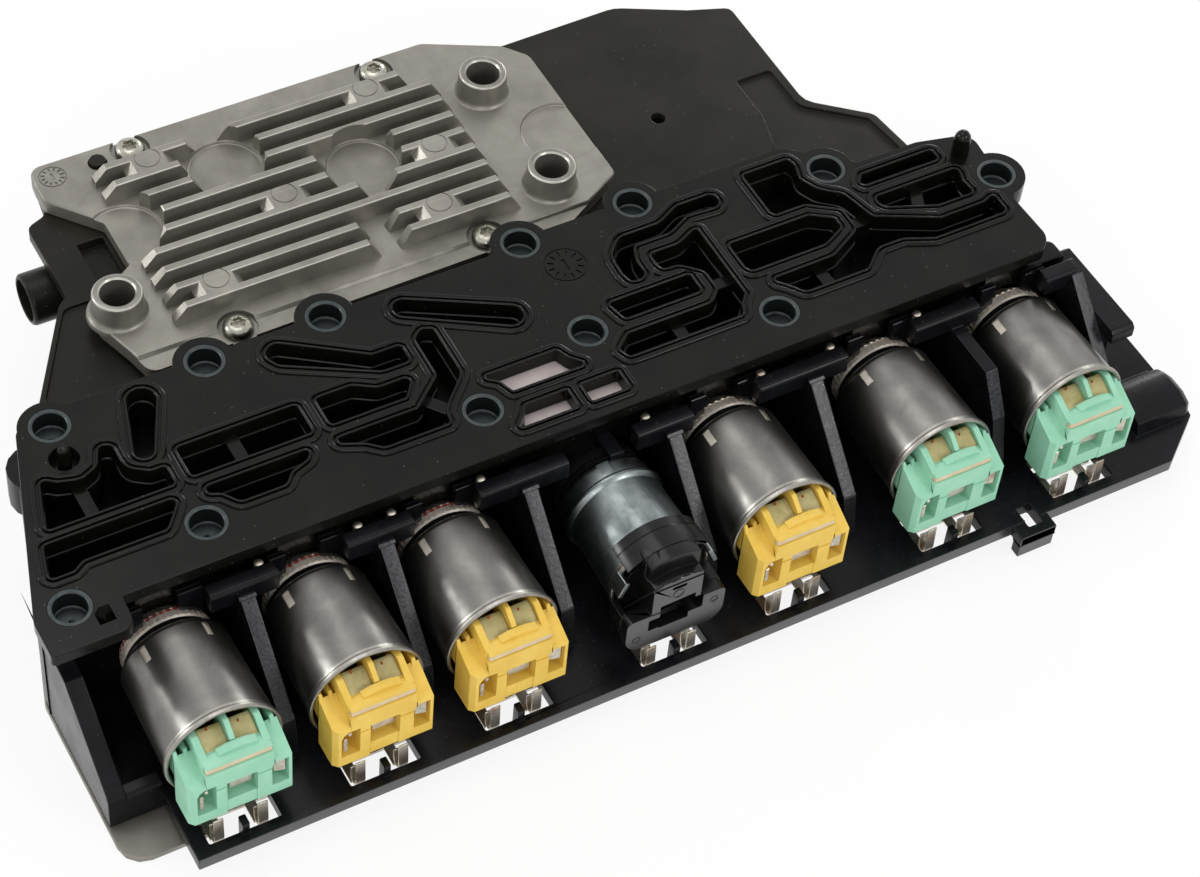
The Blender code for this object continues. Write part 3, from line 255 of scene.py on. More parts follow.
def lathe(name, profile, centre, axis="Z", steps=64, closed=True):
    """A turned piece: a half section of (radius, place along the axis) points, spun about the axis."""
    cx, cy, cz = centre
    if axis == "Z":
        points = [(cx + r, cy, cz + h) for r, h in profile]
        spin_axis = (0, 0, 1)
    else:
        points = [(cx + r, cy + h, cz) for r, h in profile]
        spin_axis = (0, 1, 0)
    if closed:
        points.append(points[0])
    obj = chain(name, points)
    bpy.ops.mesh.select_all(action="SELECT")
    bpy.ops.mesh.remove_doubles(threshold=1e-7)
    bpy.ops.mesh.select_all(action="SELECT")
    bpy.ops.mesh.spin(steps=steps, angle=math.tau, center=at(*centre), axis=spin_axis)
    bpy.ops.mesh.select_all(action="SELECT")
    bpy.ops.mesh.remove_doubles(threshold=2e-7)
    bpy.ops.mesh.select_all(action="SELECT")
    bpy.ops.mesh.normals_make_consistent(inside=False)
    done()
    return obj


def combine(obj, tools, operation="DIFFERENCE", overlapping=False):
    """Cuts other pieces out of one, or joins them on, and uses them up."""
    for tool in tools:
        take(obj)
        step = obj.modifiers.new(operation.title(), "BOOLEAN")
        step.operation = operation
        step.solver = "EXACT"
        step.use_self = overlapping
        step.object = tool
        bpy.ops.object.modifier_apply(modifier=step.name)
        bpy.data.objects.remove(tool)
    return obj


def soften(obj, width, segments=2, angle=35):
    """Rounds the sharp edges by a width in mm."""
    take(obj)
    step = obj.modifiers.new("Rounded edges", "BEVEL")
    step.width = width * MM
    step.segments = segments
    step.limit_method = "ANGLE"
    step.angle_limit = math.radians(angle)
    step.use_clamp_overlap = False
    step.miter_outer = "MITER_ARC"
    bpy.ops.object.modifier_apply(modifier=step.name)
    return obj


def fuse(pieces):
    """Makes several loose bodies one piece, the first, without cutting them."""
    clear()
    for piece in pieces:
        piece.select_set(True)
    bpy.context.view_layer.objects.active = pieces[0]
    bpy.ops.object.join()
    return pieces[0]


def spun(obj, degrees, axis, centre):
    """Turns a piece about a point of the drawing."""
    edit(obj)
    bpy.ops.transform.rotate(value=math.radians(degrees), orient_axis=axis, center_override=at(*centre))
    done()
    return obj


def trimmed(obj, place, aim, threshold=1e-4):
    """Cuts off what lies past a plane and closes the cut."""
    edit(obj)
    bpy.ops.mesh.bisect(plane_co=at(*place), plane_no=aim, clear_outer=True, use_fill=True,
                        threshold=threshold)
    done()
    return obj


def paint(obj, index, test):
    """Gives the piece's second or third finish to the faces whose middle and normal pass the test."""
    for face in obj.data.polygons:
        if test(face.center / MM + MIDDLE, face.normal):
            face.material_index = index


def copy_to(obj, name, dx, dy=0.0):
    """A copy with a mesh of its own, shifted on the drawing."""
    take(obj)
    bpy.ops.object.duplicate(linked=False)
    made = bpy.context.object
    made.name = name
    made.data.name = name
    edit(made)
    bpy.ops.transform.translate(value=Vector((dx, dy, 0)) * MM)
    done()
    return made


def twin(node, name):
    """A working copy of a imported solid, its loose triangles merged and its flat faces made whole."""
    clear()
    obj = bpy.data.objects.new(name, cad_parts[node].data.copy())
    bpy.context.scene.collection.objects.link(obj)
    obj.data.materials.clear()
    take(obj)
    bpy.ops.mesh.customdata_custom_splitnormals_clear()
    edit(obj)
    bpy.ops.mesh.remove_doubles(threshold=2e-6)
    bpy.ops.mesh.select_all(action="SELECT")
    bpy.ops.mesh.dissolve_limited(angle_limit=math.radians(0.8), delimit={"NORMAL"})
    done()
    return obj


def wear(obj, finish, body="module", nodes=(), angle=35, more=()):
    """Finishes a piece: shading, material, slot, the body it rides on and the solids it stands for."""
    take(obj)
    bpy.ops.object.shade_smooth_by_angle(angle=math.radians(angle))
    step = obj.modifiers.new("Flat faces stay flat", "WEIGHTED_NORMAL")
    step.keep_sharp = True
    bpy.ops.object.modifier_apply(modifier=step.name)
    obj.data.materials.clear()
    for made in (finish, *more):
        obj.data.materials.append(made)
    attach(obj, body)
    if nodes:
        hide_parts(*nodes)
    return obj


def arc(cx, cy, radius, start, end, steps):
    """Points on an arc from one angle to another, in degrees."""
    angles = (math.radians(start + (end - start) * k / steps) for k in range(steps + 1))
    return [(cx + radius * math.cos(a), cy + radius * math.sin(a)) for a in angles]


def rounded(corners, steps=6, least=0.0):
    """Outline whose corners (x, y, radius) are arcs, with a least radius where they turn inwards."""
    outline = []
    count = len(corners)
    area = sum(corners[i - 1][0] * corners[i][1] - corners[i][0] * corners[i - 1][1] for i in range(count))
    for i, (x, y, radius) in enumerate(corners):
        here = Vector((x, y))
        before = Vector(corners[i - 1][:2]) - here
        after = Vector(corners[(i + 1) % count][:2]) - here
        half = before.angle(after) / 2
        if (after.x * before.y - after.y * before.x) * area < 0:
            radius = max(radius, least)
        if radius <= 0 or half > math.radians(86):
            outline.append((x, y))
            continue
        reach = min(radius / math.tan(half), 0.48 * before.length, 0.48 * after.length)
        radius = reach * math.tan(half)
        start = here + before.normalized() * reach
        end = here + after.normalized() * reach
        centre = here + (before.normalized() + after.normalized()).normalized() * radius / math.sin(half)
        first = (start - centre).angle_signed(Vector((1, 0)))
        sweep = (end - centre).angle_signed(start - centre)
        pieces = max(2, min(steps, round(abs(sweep) * (radius + 1.0) / 0.55)))
        for k in range(pieces + 1):
            a = first + sweep * k / pieces
            outline.append((centre.x + radius * math.cos(a), centre.y + radius * math.sin(a)))
    return outline


def grown(outline, distance):
    """The outline moved outwards by a distance along its corner bisectors."""
    area = sum(a[0] * b[1] - b[0] * a[1] for a, b in zip(outline, outline[1:] + outline[:1]))
    side = 1 if area > 0 else -1
    result = []
    for i, point in enumerate(outline):
        here = Vector(point)
        one = (here - Vector(outline[i - 1])).normalized()
        two = (Vector(outline[(i + 1) % len(outline)]) - here).normalized()
        normal = (Vector((one.y, -one.x)) + Vector((two.y, -two.x))).normalized()
        reach = distance / max(0.5, math.sqrt(max(0.0, (1 + one.dot(two)) / 2)))
        result.append(tuple(here + side * normal * reach))
    return untangled(result)


def untangled(outline):
    """The outline without the small loops that moving it leaves at tight corners."""
    points = [Vector(point) for point in outline]
    for _ in range(2):
        points = points[len(points) // 2:] + points[:len(points) // 2]
        i = 0
        while i < len(points) - 3:
            for j in range(min(i + 26, len(points) - 2), i + 1, -1):
                crossing = intersect_line_line_2d(points[i], points[i + 1], points[j], points[j + 1])
                if crossing:
                    points[i + 1:j + 1] = [crossing]
                    break
            i += 1
    return [tuple(point) for point, last in zip(points, points[-1:] + points[:-1])
            if (point - last).length > 0.04]


def stadium(first, second, steps=10):
    """Outline round two circles (x, y, radius) and the straight sides between them."""
    heading = math.atan2(second[1] - first[1], second[0] - first[0])
    outline = []
    for (x, y, radius), start in ((first, heading + math.pi / 2), (second, heading - math.pi / 2)):
        for k in range(steps + 1):
            a = start + math.pi * k / steps
            outline.append((x + radius * math.cos(a), y + radius * math.sin(a)))
    return outline


def ring(x, y, radius, steps=40):
    return arc(x, y, radius, 0, 360 * (steps - 1) / steps, steps - 1)


def carved(name, outline, start, *moves):
    """A column: an outline filled at a level, then extruded and inset in turn (inwards, along), in mm."""
    obj = chain(name, [(x, y, start) for x, y in outline])
    bpy.ops.mesh.select_all(action="SELECT")
    bpy.ops.mesh.edge_face_add()
    down = moves[0][1] < 0
    first = True
    for inwards, along in moves:
        if inwards:
            bpy.ops.mesh.inset(thickness=inwards * MM, depth=abs(along) * MM, use_boundary=True,
                               use_even_offset=True)
        else:
            bpy.ops.mesh.extrude_region_move(TRANSFORM_OT_translate={"value": (0, 0, along * MM)})
            if first:
                bpy.ops.mesh.select_mode(type="FACE")
                done()
                level = (start + along) * MM
                for face in obj.data.polygons:
                    face.select = abs(face.center.z - level) < 1e-7
                aim = -1 if down else 1
                turned = [face for face in obj.data.polygons if face.select and face.normal.z * aim < 0]
                bpy.ops.object.mode_set(mode="EDIT")
                if turned:
                    bpy.ops.mesh.flip_normals()
        first = False
    bpy.ops.mesh.select_mode(type="VERT")
    bpy.ops.mesh.select_all(action="SELECT")
    bpy.ops.mesh.normals_make_consistent(inside=False)
    done()
    return obj


def round_over(radius, steps=3):
    """Moves that round the upper edge of a column."""
    turns = [math.radians(90 * k / steps) for k in range(steps + 1)]
    return [(radius * (math.cos(a) - math.cos(b)), radius * (math.sin(b) - math.sin(a)))
            for a, b in zip(turns, turns[1:])]


def round_into(radius, steps=3):
    """Moves that round the edge where a cutting column goes down through a surface."""
    turns = [math.radians(90 * k / steps) for k in range(steps + 1)]
    return [(radius * (math.sin(b) - math.sin(a)), radius * (math.cos(b) - math.cos(a)))
            for a, b in zip(turns, turns[1:])]


# Finishes
def linear(code):
    """An sRGB hex colour as linear red, green, blue, alpha; a colour from the panel is linear already."""
    if not isinstance(code, str):
        return tuple(code)
    values = [int(code[i:i + 2], 16) / 255 for i in (1, 3, 5)]
    return tuple(v / 12.92 if v <= 0.04045 else ((v + 0.055) / 1.055) ** 2.4 for v in values) + (1.0,)


def plug(node, inputs):
    """Gives inputs of a node their values or links."""
    for name, value in inputs.items():
        if isinstance(value, bpy.types.NodeSocket):
            node.id_data.links.new(value, node.inputs[name])
        else:
            node.inputs[name].default_value = value


def add(tree, kind, inputs=None, **settings):
    """Adds one node: plain settings by name, then each input as a value or a link."""
    made = tree.nodes.new("ShaderNode" + kind)
    for name, value in settings.items():
        setattr(made, name, value)
    plug(made, inputs or {})
    return made


def emptied(owner):
    """The node tree of a material or world, with nothing in it."""
    owner.use_nodes = True
    owner.node_tree.nodes.clear()
    return owner.node_tree


def blank(name):
    """An empty material, its node tree, its shader and the place on the object."""
    made = bpy.data.materials.new(name)
    tree = emptied(made)
    shader = add(tree, "BsdfPrincipled")
    add(tree, "OutputMaterial", {"Surface": shader.outputs[0]})
    return made, tree, shader, add(tree, "TexCoord").outputs["Object"]


def moulded(name, dark, light, grain=0.35, depth=0.012, rough=(0.38, 0.55), gloss=0.25, cloud=14.0,
            speck=0.0):
    """Injection-moulded plastic: clouded colour, fine grain from the tool, and some dust specks."""
    made, tree, shader, place = blank(name)
    clouds = add(tree, "TexNoise", {"Vector": place, "Scale": 1 / (cloud * MM), "Detail": 5.0,
                                    "Roughness": 0.62}).outputs["Fac"]
    tone = add(tree, "MapRange", {"Value": clouds, "From Min": 0.32, "From Max": 0.68})
    colour = add(tree, "Mix", {0: tone.outputs[0], 6: linear(dark), 7: linear(light)},
                 data_type="RGBA").outputs[2]
    if speck:
        dust = add(tree, "TexVoronoi", {"Vector": place, "Scale": 1 / (DUST * MM), "Randomness": 1.0})
        dots = add(tree, "MapRange", {"Value": dust.outputs["Distance"], "From Min": 0.035,
                                      "From Max": 0.075, "To Min": speck, "To Max": 0.0})
        colour = add(tree, "Mix", {0: dots.outputs[0], 6: colour, 7: linear("#8C8B86")},
                     data_type="RGBA").outputs[2]
    shine = add(tree, "MapRange", {"Value": clouds, "From Min": 0.3, "From Max": 0.7, "To Min": rough[0],
                                   "To Max": rough[1]})
    fine = add(tree, "TexNoise", {"Vector": place, "Scale": 1 / (grain * MM), "Detail": 3.0,
                                  "Roughness": 0.6})
    bump = add(tree, "Bump", {"Height": fine.outputs["Fac"], "Strength": 0.6, "Distance": depth * MM})
    plug(shader, {"Base Color": colour, "Roughness": shine.outputs[0], "Normal": bump.outputs[0],
                  "Specular IOR Level": gloss, "IOR": 1.5})
    return made


def metal(name, dark, light, rough=(0.28, 0.42), cloud=9.0, streak=(0.7, 26.0, 0.7), lines=0.35, grain=0.25,
          depth=0.006, stain=None, bare=1.0):
    """Bare metal: patchy tone, streaks along the way it was drawn or turned, and a fine scuffed grain."""
    made, tree, shader, place = blank(name)
    clouds = add(tree, "TexNoise", {"Vector": place, "Scale": 1 / (cloud * MM), "Detail": 6.0,
                                    "Roughness": 0.6, "Distortion": 0.4})
    along = add(tree, "Mapping", {"Vector": place, "Scale": [1 / (s * MM) for s in streak]})
    drawn = add(tree, "TexNoise", {"Vector": along.outputs[0], "Scale": 1.0, "Detail": 3.0}).outputs["Fac"]
    tone = add(tree, "Mix", {0: lines, 2: clouds.outputs["Fac"], 3: drawn}, data_type="FLOAT").outputs[0]
    spread = add(tree, "MapRange", {"Value": tone, "From Min": 0.34, "From Max": 0.66})
    colour = add(tree, "Mix", {0: spread.outputs[0], 6: linear(dark), 7: linear(light)},
                 data_type="RGBA").outputs[2]
    if stain:
        patch = add(tree, "TexNoise", {"Vector": place, "Scale": 1 / (STAIN * MM), "Detail": 4.0})
        amount = add(tree, "MapRange", {"Value": patch.outputs["Fac"], "From Min": 0.52, "From Max": 0.7,
                                        "To Max": 0.55})
        colour = add(tree, "Mix", {0: amount.outputs[0], 6: colour, 7: linear(stain)},
                     data_type="RGBA").outputs[2]
    shine = add(tree, "MapRange", {"Value": tone, "From Min": 0.35, "From Max": 0.65, "To Min": rough[1],
                                   "To Max": rough[0]})
    fine = add(tree, "TexNoise", {"Vector": place, "Scale": 1 / (grain * MM), "Detail": 2.0})
    height = add(tree, "Mix", {0: 0.4, 2: fine.outputs["Fac"], 3: drawn}, data_type="FLOAT")
    bump = add(tree, "Bump", {"Height": height.outputs[0], "Strength": 0.5, "Distance": depth * MM})
    plug(shader, {"Base Color": colour, "Roughness": shine.outputs[0], "Normal": bump.outputs[0],
                  "Metallic": bare})
    return made


F = {}


def mix_finishes():
    """All finishes of the module, each after the real material and its making, save where painted light is
    noted.
    """
    colours = bpy.context.scene.connector_colours
    # Glass-filled nylon straight from the mould: satin black with a faint warm cloud and a little dust
    F["manifold"] = moulded("glass_filled_nylon_moulded", "#070706", "#0F0F0C", grain=0.4, depth=0.008,
                            rough=(0.15, 0.24), gloss=0.19, cloud=16, speck=0.30)
    # The frame's nylon is bluer and has an eroded grain on its ribs
    F["frame"] = moulded("nylon_eroded_grain", "#0C0C0E", "#151619", grain=0.55, depth=0.03,
                         rough=(0.2, 0.3), gloss=0.16, cloud=10, speck=0.2)
    F["grain"] = moulded("nylon_coarse_eroded_grain", "#08080A", "#3C3C40", grain=1.0, depth=0.12,
                         rough=(0.22, 0.4), gloss=0.3, cloud=0.6, speck=1.0)
    # The outer front faces come from the polished side of the mould
    F["front"] = moulded("nylon_polished_front", "#1A1A1B", "#242425", grain=0.2, depth=0.005,
                         rough=(0.26, 0.34), gloss=1.0, cloud=9, speck=0.2)
    F["housing"] = moulded("nylon_housing_moulded", "#161611", "#211F19", grain=0.5, depth=0.01,
                           rough=(0.28, 0.42), gloss=0.15, cloud=22, speck=0.3)
    # Deep-drawn steel, phosphated and handled: mid grey with long streaks
    F["can"] = metal("steel_deep_drawn", "#6B6A67", "#7F7D79", rough=(0.3, 0.38), cloud=7, lines=0.05)
    F["rim"] = metal("steel_rolled_edge", "#86837D", "#A5A29B", rough=(0.3, 0.4), cloud=4)
    # Zinc plating: cooler, brighter, mottled
    F["zinc"] = metal("steel_zinc_plated", "#62686A", "#959C9B", rough=(0.26, 0.4), cloud=5, lines=0.2)
    F["turned"] = metal("steel_turned", "#857D70", "#B9B1A3", rough=(0.24, 0.38), cloud=3,
                        streak=(9, 0.35, 9), lines=0.6, depth=0.012)
    F["bushing"] = metal("steel_black_oxide", "#3B4042", "#4A4F4E", rough=(0.38, 0.52), cloud=3, lines=0.2)
    # Spring washers: pale nickel-silver strip, warm, brightened further as painted light for the shade they
    # sit in
    F["washer"] = metal("nickel_silver_strip", "#E2D8CB", "#FFF8EC", rough=(0.45, 0.6), cloud=2.5,
                        lines=0.2)
    F["red"] = moulded("red_varnished_thread", "#7A2620", "#96352B", rough=(0.4, 0.5), cloud=3)
    F["cast"] = metal("aluminium_die_cast", "#77746D", "#96938B", rough=(0.33, 0.5), cloud=11,
                      streak=(14, 14, 5), lines=0.3, grain=0.4, depth=0.010, bare=0.7)
    F["machined"] = metal("aluminium_machined", "#77746D", "#979590", rough=(0.24, 0.34), cloud=3,
                          lines=0.3)
    # Painted highlight: a brighter tone for the sloping edges of the fin crests and boss rims, where light
    # catches
    F["crest"] = metal("aluminium_rubbed_bright", "#9B9890", "#C2BFB7", rough=(0.28, 0.38), cloud=9,
                       lines=0.2, bare=0.7)
    F["tin"] = metal("bronze_strip_tinned", "#B0A898", "#DED8CB", rough=(0.36, 0.5), cloud=2,
                     stain="#8A5230")
    F["screw"] = metal("steel_screw_zinc_plated", "#8B887C", "#BDBBB0", rough=(0.24, 0.36), cloud=2)
    F["mint"] = moulded("nylon_mint_green", colours.mint, colours.mint_pale, grain=0.3, depth=0.004,
                        rough=(0.42, 0.55), gloss=0.4, cloud=6)
    F["yellow"] = moulded("nylon_amber_yellow", colours.amber, colours.amber_pale, grain=0.3, depth=0.004,
                          rough=(0.4, 0.52), gloss=0.4, cloud=6)
    F["black"] = moulded("nylon_black_connector", "#0D0D0D", "#171716", grain=0.3, depth=0.004,
                         rough=(0.16, 0.26), gloss=0.24, cloud=7)
    F["bobbin"] = moulded("nylon_natural_bobbin", "#A59A63", "#C1B684", grain=0.4, depth=0.006,
                          rough=(0.35, 0.5), gloss=0.4, cloud=3)
    plug(F["bobbin"].node_tree.nodes["Principled BSDF"],
         {"Subsurface Weight": 0.25, "Subsurface Radius": (1.0, 0.8, 0.4), "Subsurface Scale": 1.2 * MM})
    F["strip"] = moulded("rubber_pale_seal", "#C8B392", "#D9C7A9", grain=0.4, depth=0.006, rough=(0.5, 0.6),
                         gloss=0.3, cloud=4)
    F["screen"] = moulded("pressed_pale_plate", "#CBBDBB", "#DCD0CE", grain=0.3, depth=0.004,
                          rough=(0.4, 0.5), gloss=0.4, cloud=5, speck=0.15)
    F["copper"] = metal("copper_enamelled_wire", "#B5532A", "#E07B45", rough=(0.25, 0.35), cloud=1)
    F["board"] = moulded("glass_epoxy_solder_mask", "#1E4A2C", "#2A5C38", grain=0.2, depth=0.004,
                         rough=(0.3, 0.4), gloss=0.5, cloud=4)


# What a user would change
class ManifoldSizes(bpy.types.PropertyGroup):
    rim: bpy.props.FloatProperty(name="Rim width", description="Flat rim on each side of the groove in a lip",
                                 default=0.62 * MM, min=0.4 * MM, max=0.9 * MM, precision=5, unit="LENGTH")
    groove: bpy.props.FloatProperty(name="Groove depth", description="Depth of the groove in a lip",
                                    default=0.75 * MM, min=0.35 * MM, max=1.0 * MM, precision=5,
                                    unit="LENGTH")


class SolenoidSizes(bpy.types.PropertyGroup):
    steps: bpy.props.IntProperty(name="Facets", description="Facets round each turned piece", default=72,
                                 min=24, max=128)


class ConnectorColours(bpy.types.PropertyGroup):
    mint: bpy.props.FloatVectorProperty(name="Mint", description="Deeper tone of the green blocks",
                                        subtype="COLOR", size=4, default=linear("#8DC8A9"), min=0, max=1)
    mint_pale: bpy.props.FloatVectorProperty(name="Pale mint", description="Paler clouds in the green",
                                             subtype="COLOR", size=4, default=linear("#9CD2B6"), min=0,
                                             max=1)
    amber: bpy.props.FloatVectorProperty(name="Amber", description="Deeper tone of the yellow blocks",
                                         subtype="COLOR", size=4, default=linear("#DDB646"), min=0, max=1)
    amber_pale: bpy.props.FloatVectorProperty(name="Pale amber", description="Paler clouds in the yellow",
                                              subtype="COLOR", size=4, default=linear("#E8C55C"), min=0,
                                              max=1)


class StageLight(bpy.types.PropertyGroup):
    ambient: bpy.props.FloatProperty(name="Ambient",
                                     description="Strength of the white surroundings on the object",
                                     default=0.7, min=0.0, max=2.0)
    key: bpy.props.FloatProperty(name="Key", description="Power of the large lamp overhead", default=3.2,
                                 min=0.0, unit="POWER")


# Pieces
def dial(x, y, top, radius):
    """A cutter for the plain dial of a mould insert: a round line, twelve strokes and a middle bar."""
    outer = carved("dial", ring(x, y, radius), top + 1, (0, -1.25))
    inner = carved("dial", ring(x, y, radius - 0.25), top - 1, (0, 3.0))
    tools = [combine(outer, [inner])]
    for k in range(12):
        stroke = block("stroke", x + radius * 0.55, x + radius * 0.85, y - 0.22, y + 0.22, top - 0.25,
                       top + 1)
        tools.append(spun(stroke, -30 * k, "Z", (x, y, top)))
    tools.append(block("arrow", x - 0.3, x + 0.3, y - radius * 0.35, y + radius * 0.35, top - 0.25,
                       top + 1))
    return fuse(tools)


class MODULE_OT_manifold(bpy.types.Operator):
    """Oil manifold with grooved lips round its channels, window lips and small moulding marks"""
    bl_idname = "module.manifold"
    bl_label = "Oil manifold"

    def execute(self, context):
        rim = context.scene.manifold_sizes.rim / MM
        groove = context.scene.manifold_sizes.groove / MM
        channels = [rounded(corners, 7, 1.5) for corners in CHANNELS.values()]
        channels += [stadium(*ends) for ends in SLOTS.values()]
        windows = [rounded(corners, 7, 1.5) for corners in WINDOWS]
        body = carved("oil_manifold", rounded(PLATE, 7), PLATE_LOW, (0, 2.75), (0.08, 0.17), (0.17, 0.08))
        # Everything that stands on or under the plate is joined on
        block_under = carved("block", rounded(BLOCK, 6), 31.4, (0, 12.4))
        lobes = [carved("lobe", ring(x, y, 6.8), 39.6, (0, 5.55), (0.08, 0.17), (0.17, 0.08))
                 for x, y in BUSHINGS]
        lips = [carved("lip", grown(outline, 2.3), 44.0, (0, LIP_TOP - 44.0 - 0.5), *round_over(0.5))
                for outline in channels + windows]
        combine(body, [block_under], "UNION")
        combine(body, [fuse(lobes)], "UNION")
        combine(body, [fuse(lips)], "UNION", overlapping=True)
        # Grooves in the lips
        grooves = []
        for outline in channels + windows:
            outer = carved("groove", grown(outline, rim + 0.8), ABOVE, (0, LIP_TOP - ABOVE),
                           *round_into(0.3), (0, 0.3 - groove))
            inner = carved("rim", grown(outline, rim), 44.8, (0, LIP_TOP - 44.8 - 0.27),
                           *round_over(0.27), (0, 2.0))
            grooves.append(combine(outer, [inner]))
        combine(body, [fuse(grooves)], overlapping=True)
        # Channels, with a narrow ledge part way down
        pockets = [carved("channel", grown(outline, 0.3), ABOVE, (0, LIP_TOP - ABOVE), *round_into(0.3),
                          (0, -3.8), (0.3, -0.12), (0, -7.7)) for outline in channels]
        pockets += [carved("window", grown(outline, 0.3), ABOVE, (0, LIP_TOP - ABOVE), *round_into(0.3),
                           (0, -3.8)) for outline in windows]
        combine(body, [fuse(pockets)])
        bay = carved("screen_bay", grown(rounded(SCREEN), 0.3), 31.0, (0, PLATE_LOW - 31.0))
        seats = [carved("seat", ring(x, y, 4.63), ABOVE, (0, -7.3), (1.0, -0.05), (0, -9.0))
                 for x, y in BUSHINGS]
        small = [carved("bowl", ring(*BOWL, 3.3), ABOVE, (0, -1.6), (0.15, -0.2), (0.2, -3.0)),
                 dial(18.5, 41.9, SEAL_Z, 4.9)]
        combine(body, [bay, fuse([*seats, *small])])
        combine(body, [slab("hole", KEY_HOLE, 40.0, ABOVE)])
        # Arched recess in the block over each snout
        arches = [slab("arch", ring(x, AXIS_Z, 10.0), 2.0, 8.6, "Y") for x, colour in SOLENOIDS]
        combine(body, [fuse(arches)])
        ribs = []
        for x, y, length, angle in RIBS:
            rib = block("rib", x - length / 2, x + length / 2, y - 1.5, y + 1.5, 32.6, SEAL_Z - 2.0)
            ribs.append(soften(spun(rib, -angle, "Z", (x, y, 40)), 0.2))
        pins = [lathe("pin", [(0, -4.0), (1.5, -4.0), (1.45, 2.2), (1.2, 3.2), (0.7, 3.8), (0, 4.0)],
                      (*BOWL, SEAL_Z), "Z", 32, False),
                lathe("pin", [(0, -4.0), (2.1, -4.0), (2.0, 4.6), (1.75, 5.6), (1.2, 6.4), (0.6, 6.8),
                              (0, 6.9)], (*TALL_PIN, SEAL_Z), "Z", 32, False)]
        combine(body, [fuse([*ribs, *pins])], "UNION")
        wear(body, F["manifold"], nodes=["manifold_body"], angle=32)
        return {"FINISHED"}


class MODULE_OT_bushings(bpy.types.Operator):
    """Steel compression sleeves pressed into the bolt holes"""
    bl_idname = "module.bushings"
    bl_label = "Bolt bushings"

    def execute(self, context):
        profile = ((0.4, -5.4), (4.6, -5.4), (4.6, -0.14), (4.5, 0.0), (3.82, 0.0), (3.6, -0.2),
                   (3.6, -4.2), (3.3, -4.35), (3.1, -4.7), (0.6, -4.75), (0.4, -4.9))
        x0, y0 = BUSHINGS[0]
        first = lathe("bolt_bushing_1", profile, (x0, y0, SEAL_Z), steps=48)
        for k, (x, y) in enumerate(BUSHINGS):
            obj = first if k == 0 else copy_to(first, f"bolt_bushing_{k + 1}", x - x0, y - y0)
            wear(obj, F["bushing"], nodes=[f"bushing_{k + 1}"])
        return {"FINISHED"}


def can_profile(switch):
    """Half section of a can: the hole in its back, the shoulder, the rolled rim and the inside."""
    s = 1.1 if switch else 0.0
    shoulder = [(10.2 - s + 1.8 * math.sin(a), 4.3 - 1.8 * math.cos(a))
                for a in (math.radians(15 * k) for k in range(7))]
    wall = [(12.0 - s, 7.0), (12.0 - s + 0.5, 7.3), (12.0 - s + 0.9, 7.9), (12.0 - s + 0.9, 8.5),
            (12.0 - s + 0.5, 9.1), (12.1 - s, 9.4)] if switch else [(12.03, 8.0)]
    rim = [(12.5 - s, 26.2), (12.6 - s, 26.9), (12.95 - s, 27.3), (13.0 - s, 27.7), (12.9 - s, 28.1),
           (12.65 - s, 28.25), (12.3 - s, 28.2), (12.05 - s, 27.9), (11.95 - s, 27.2)]
    inside = [(11.4 - s, 5.0), (9.8 - s, 3.6), (5.6, 3.5)]
    return [(5.6, 2.5), *shoulder, *wall, *rim, *inside]


class MODULE_OT_cans(bpy.types.Operator):
    """Deep-drawn solenoid cans with a rolled rim and two staked slots at the shoulder"""
    bl_idname = "module.cans"
    bl_label = "Solenoid cans"

    def execute(self, context):
        steps = context.scene.solenoid_sizes.steps
        first = None
        for k, (x, colour) in enumerate(SOLENOIDS):
            switch = colour == "black"
            name = f"can_{k + 1}"
            if first is None or switch:
                obj = lathe(name, [(r, -h) for r, h in can_profile(switch)], (x, 0, AXIS_Z), "Y", steps)
                cuts = []
                spots = ((128, SLOT_Y, 0.85, 1.9), (58, SLOT_Y, 0.7, 1.7))
                if switch:
                    spots = ((97, -4.6, 1.4, 1.6),)
                for angle, y, half, length in spots:
                    r = 10.9 if switch else 12.0
                    cx, cz = r * math.cos(math.radians(angle)), r * math.sin(math.radians(angle))
                    tool = block("slot", x + cx - half, x + cx + half, y - length, y + length,
                                 AXIS_Z + cz - 0.5, AXIS_Z + cz + 1.2)
                    cuts.append(spun(tool, angle - 90, "Y", (x + cx, y, AXIS_Z + cz)))
                combine(obj, cuts)
                if not switch:
                    first = (obj, x)
            else:
                obj = copy_to(first[0], name, x - first[1])
            finish = F["zinc"] if switch else F["can"]
            wear(obj, finish,
                 nodes=[f"solenoid_{k + 1}_can"], angle=30, more=[F["rim"], F["washer"]])
            # The rolled rim is rubbed bright, and so is the metal staked down in the slots
            paint(obj, 1, lambda spot, normal: spot.y < -26.5)
            # The slots take the washers' finish, whose colour is brightened as painted light
            if not switch:
                paint(obj, 2, lambda spot, normal: abs(spot.y - SLOT_Y) < 1.7
                      and 11.0 < math.hypot(spot.x - x, spot.z - AXIS_Z) < 11.75)
        return {"FINISHED"}


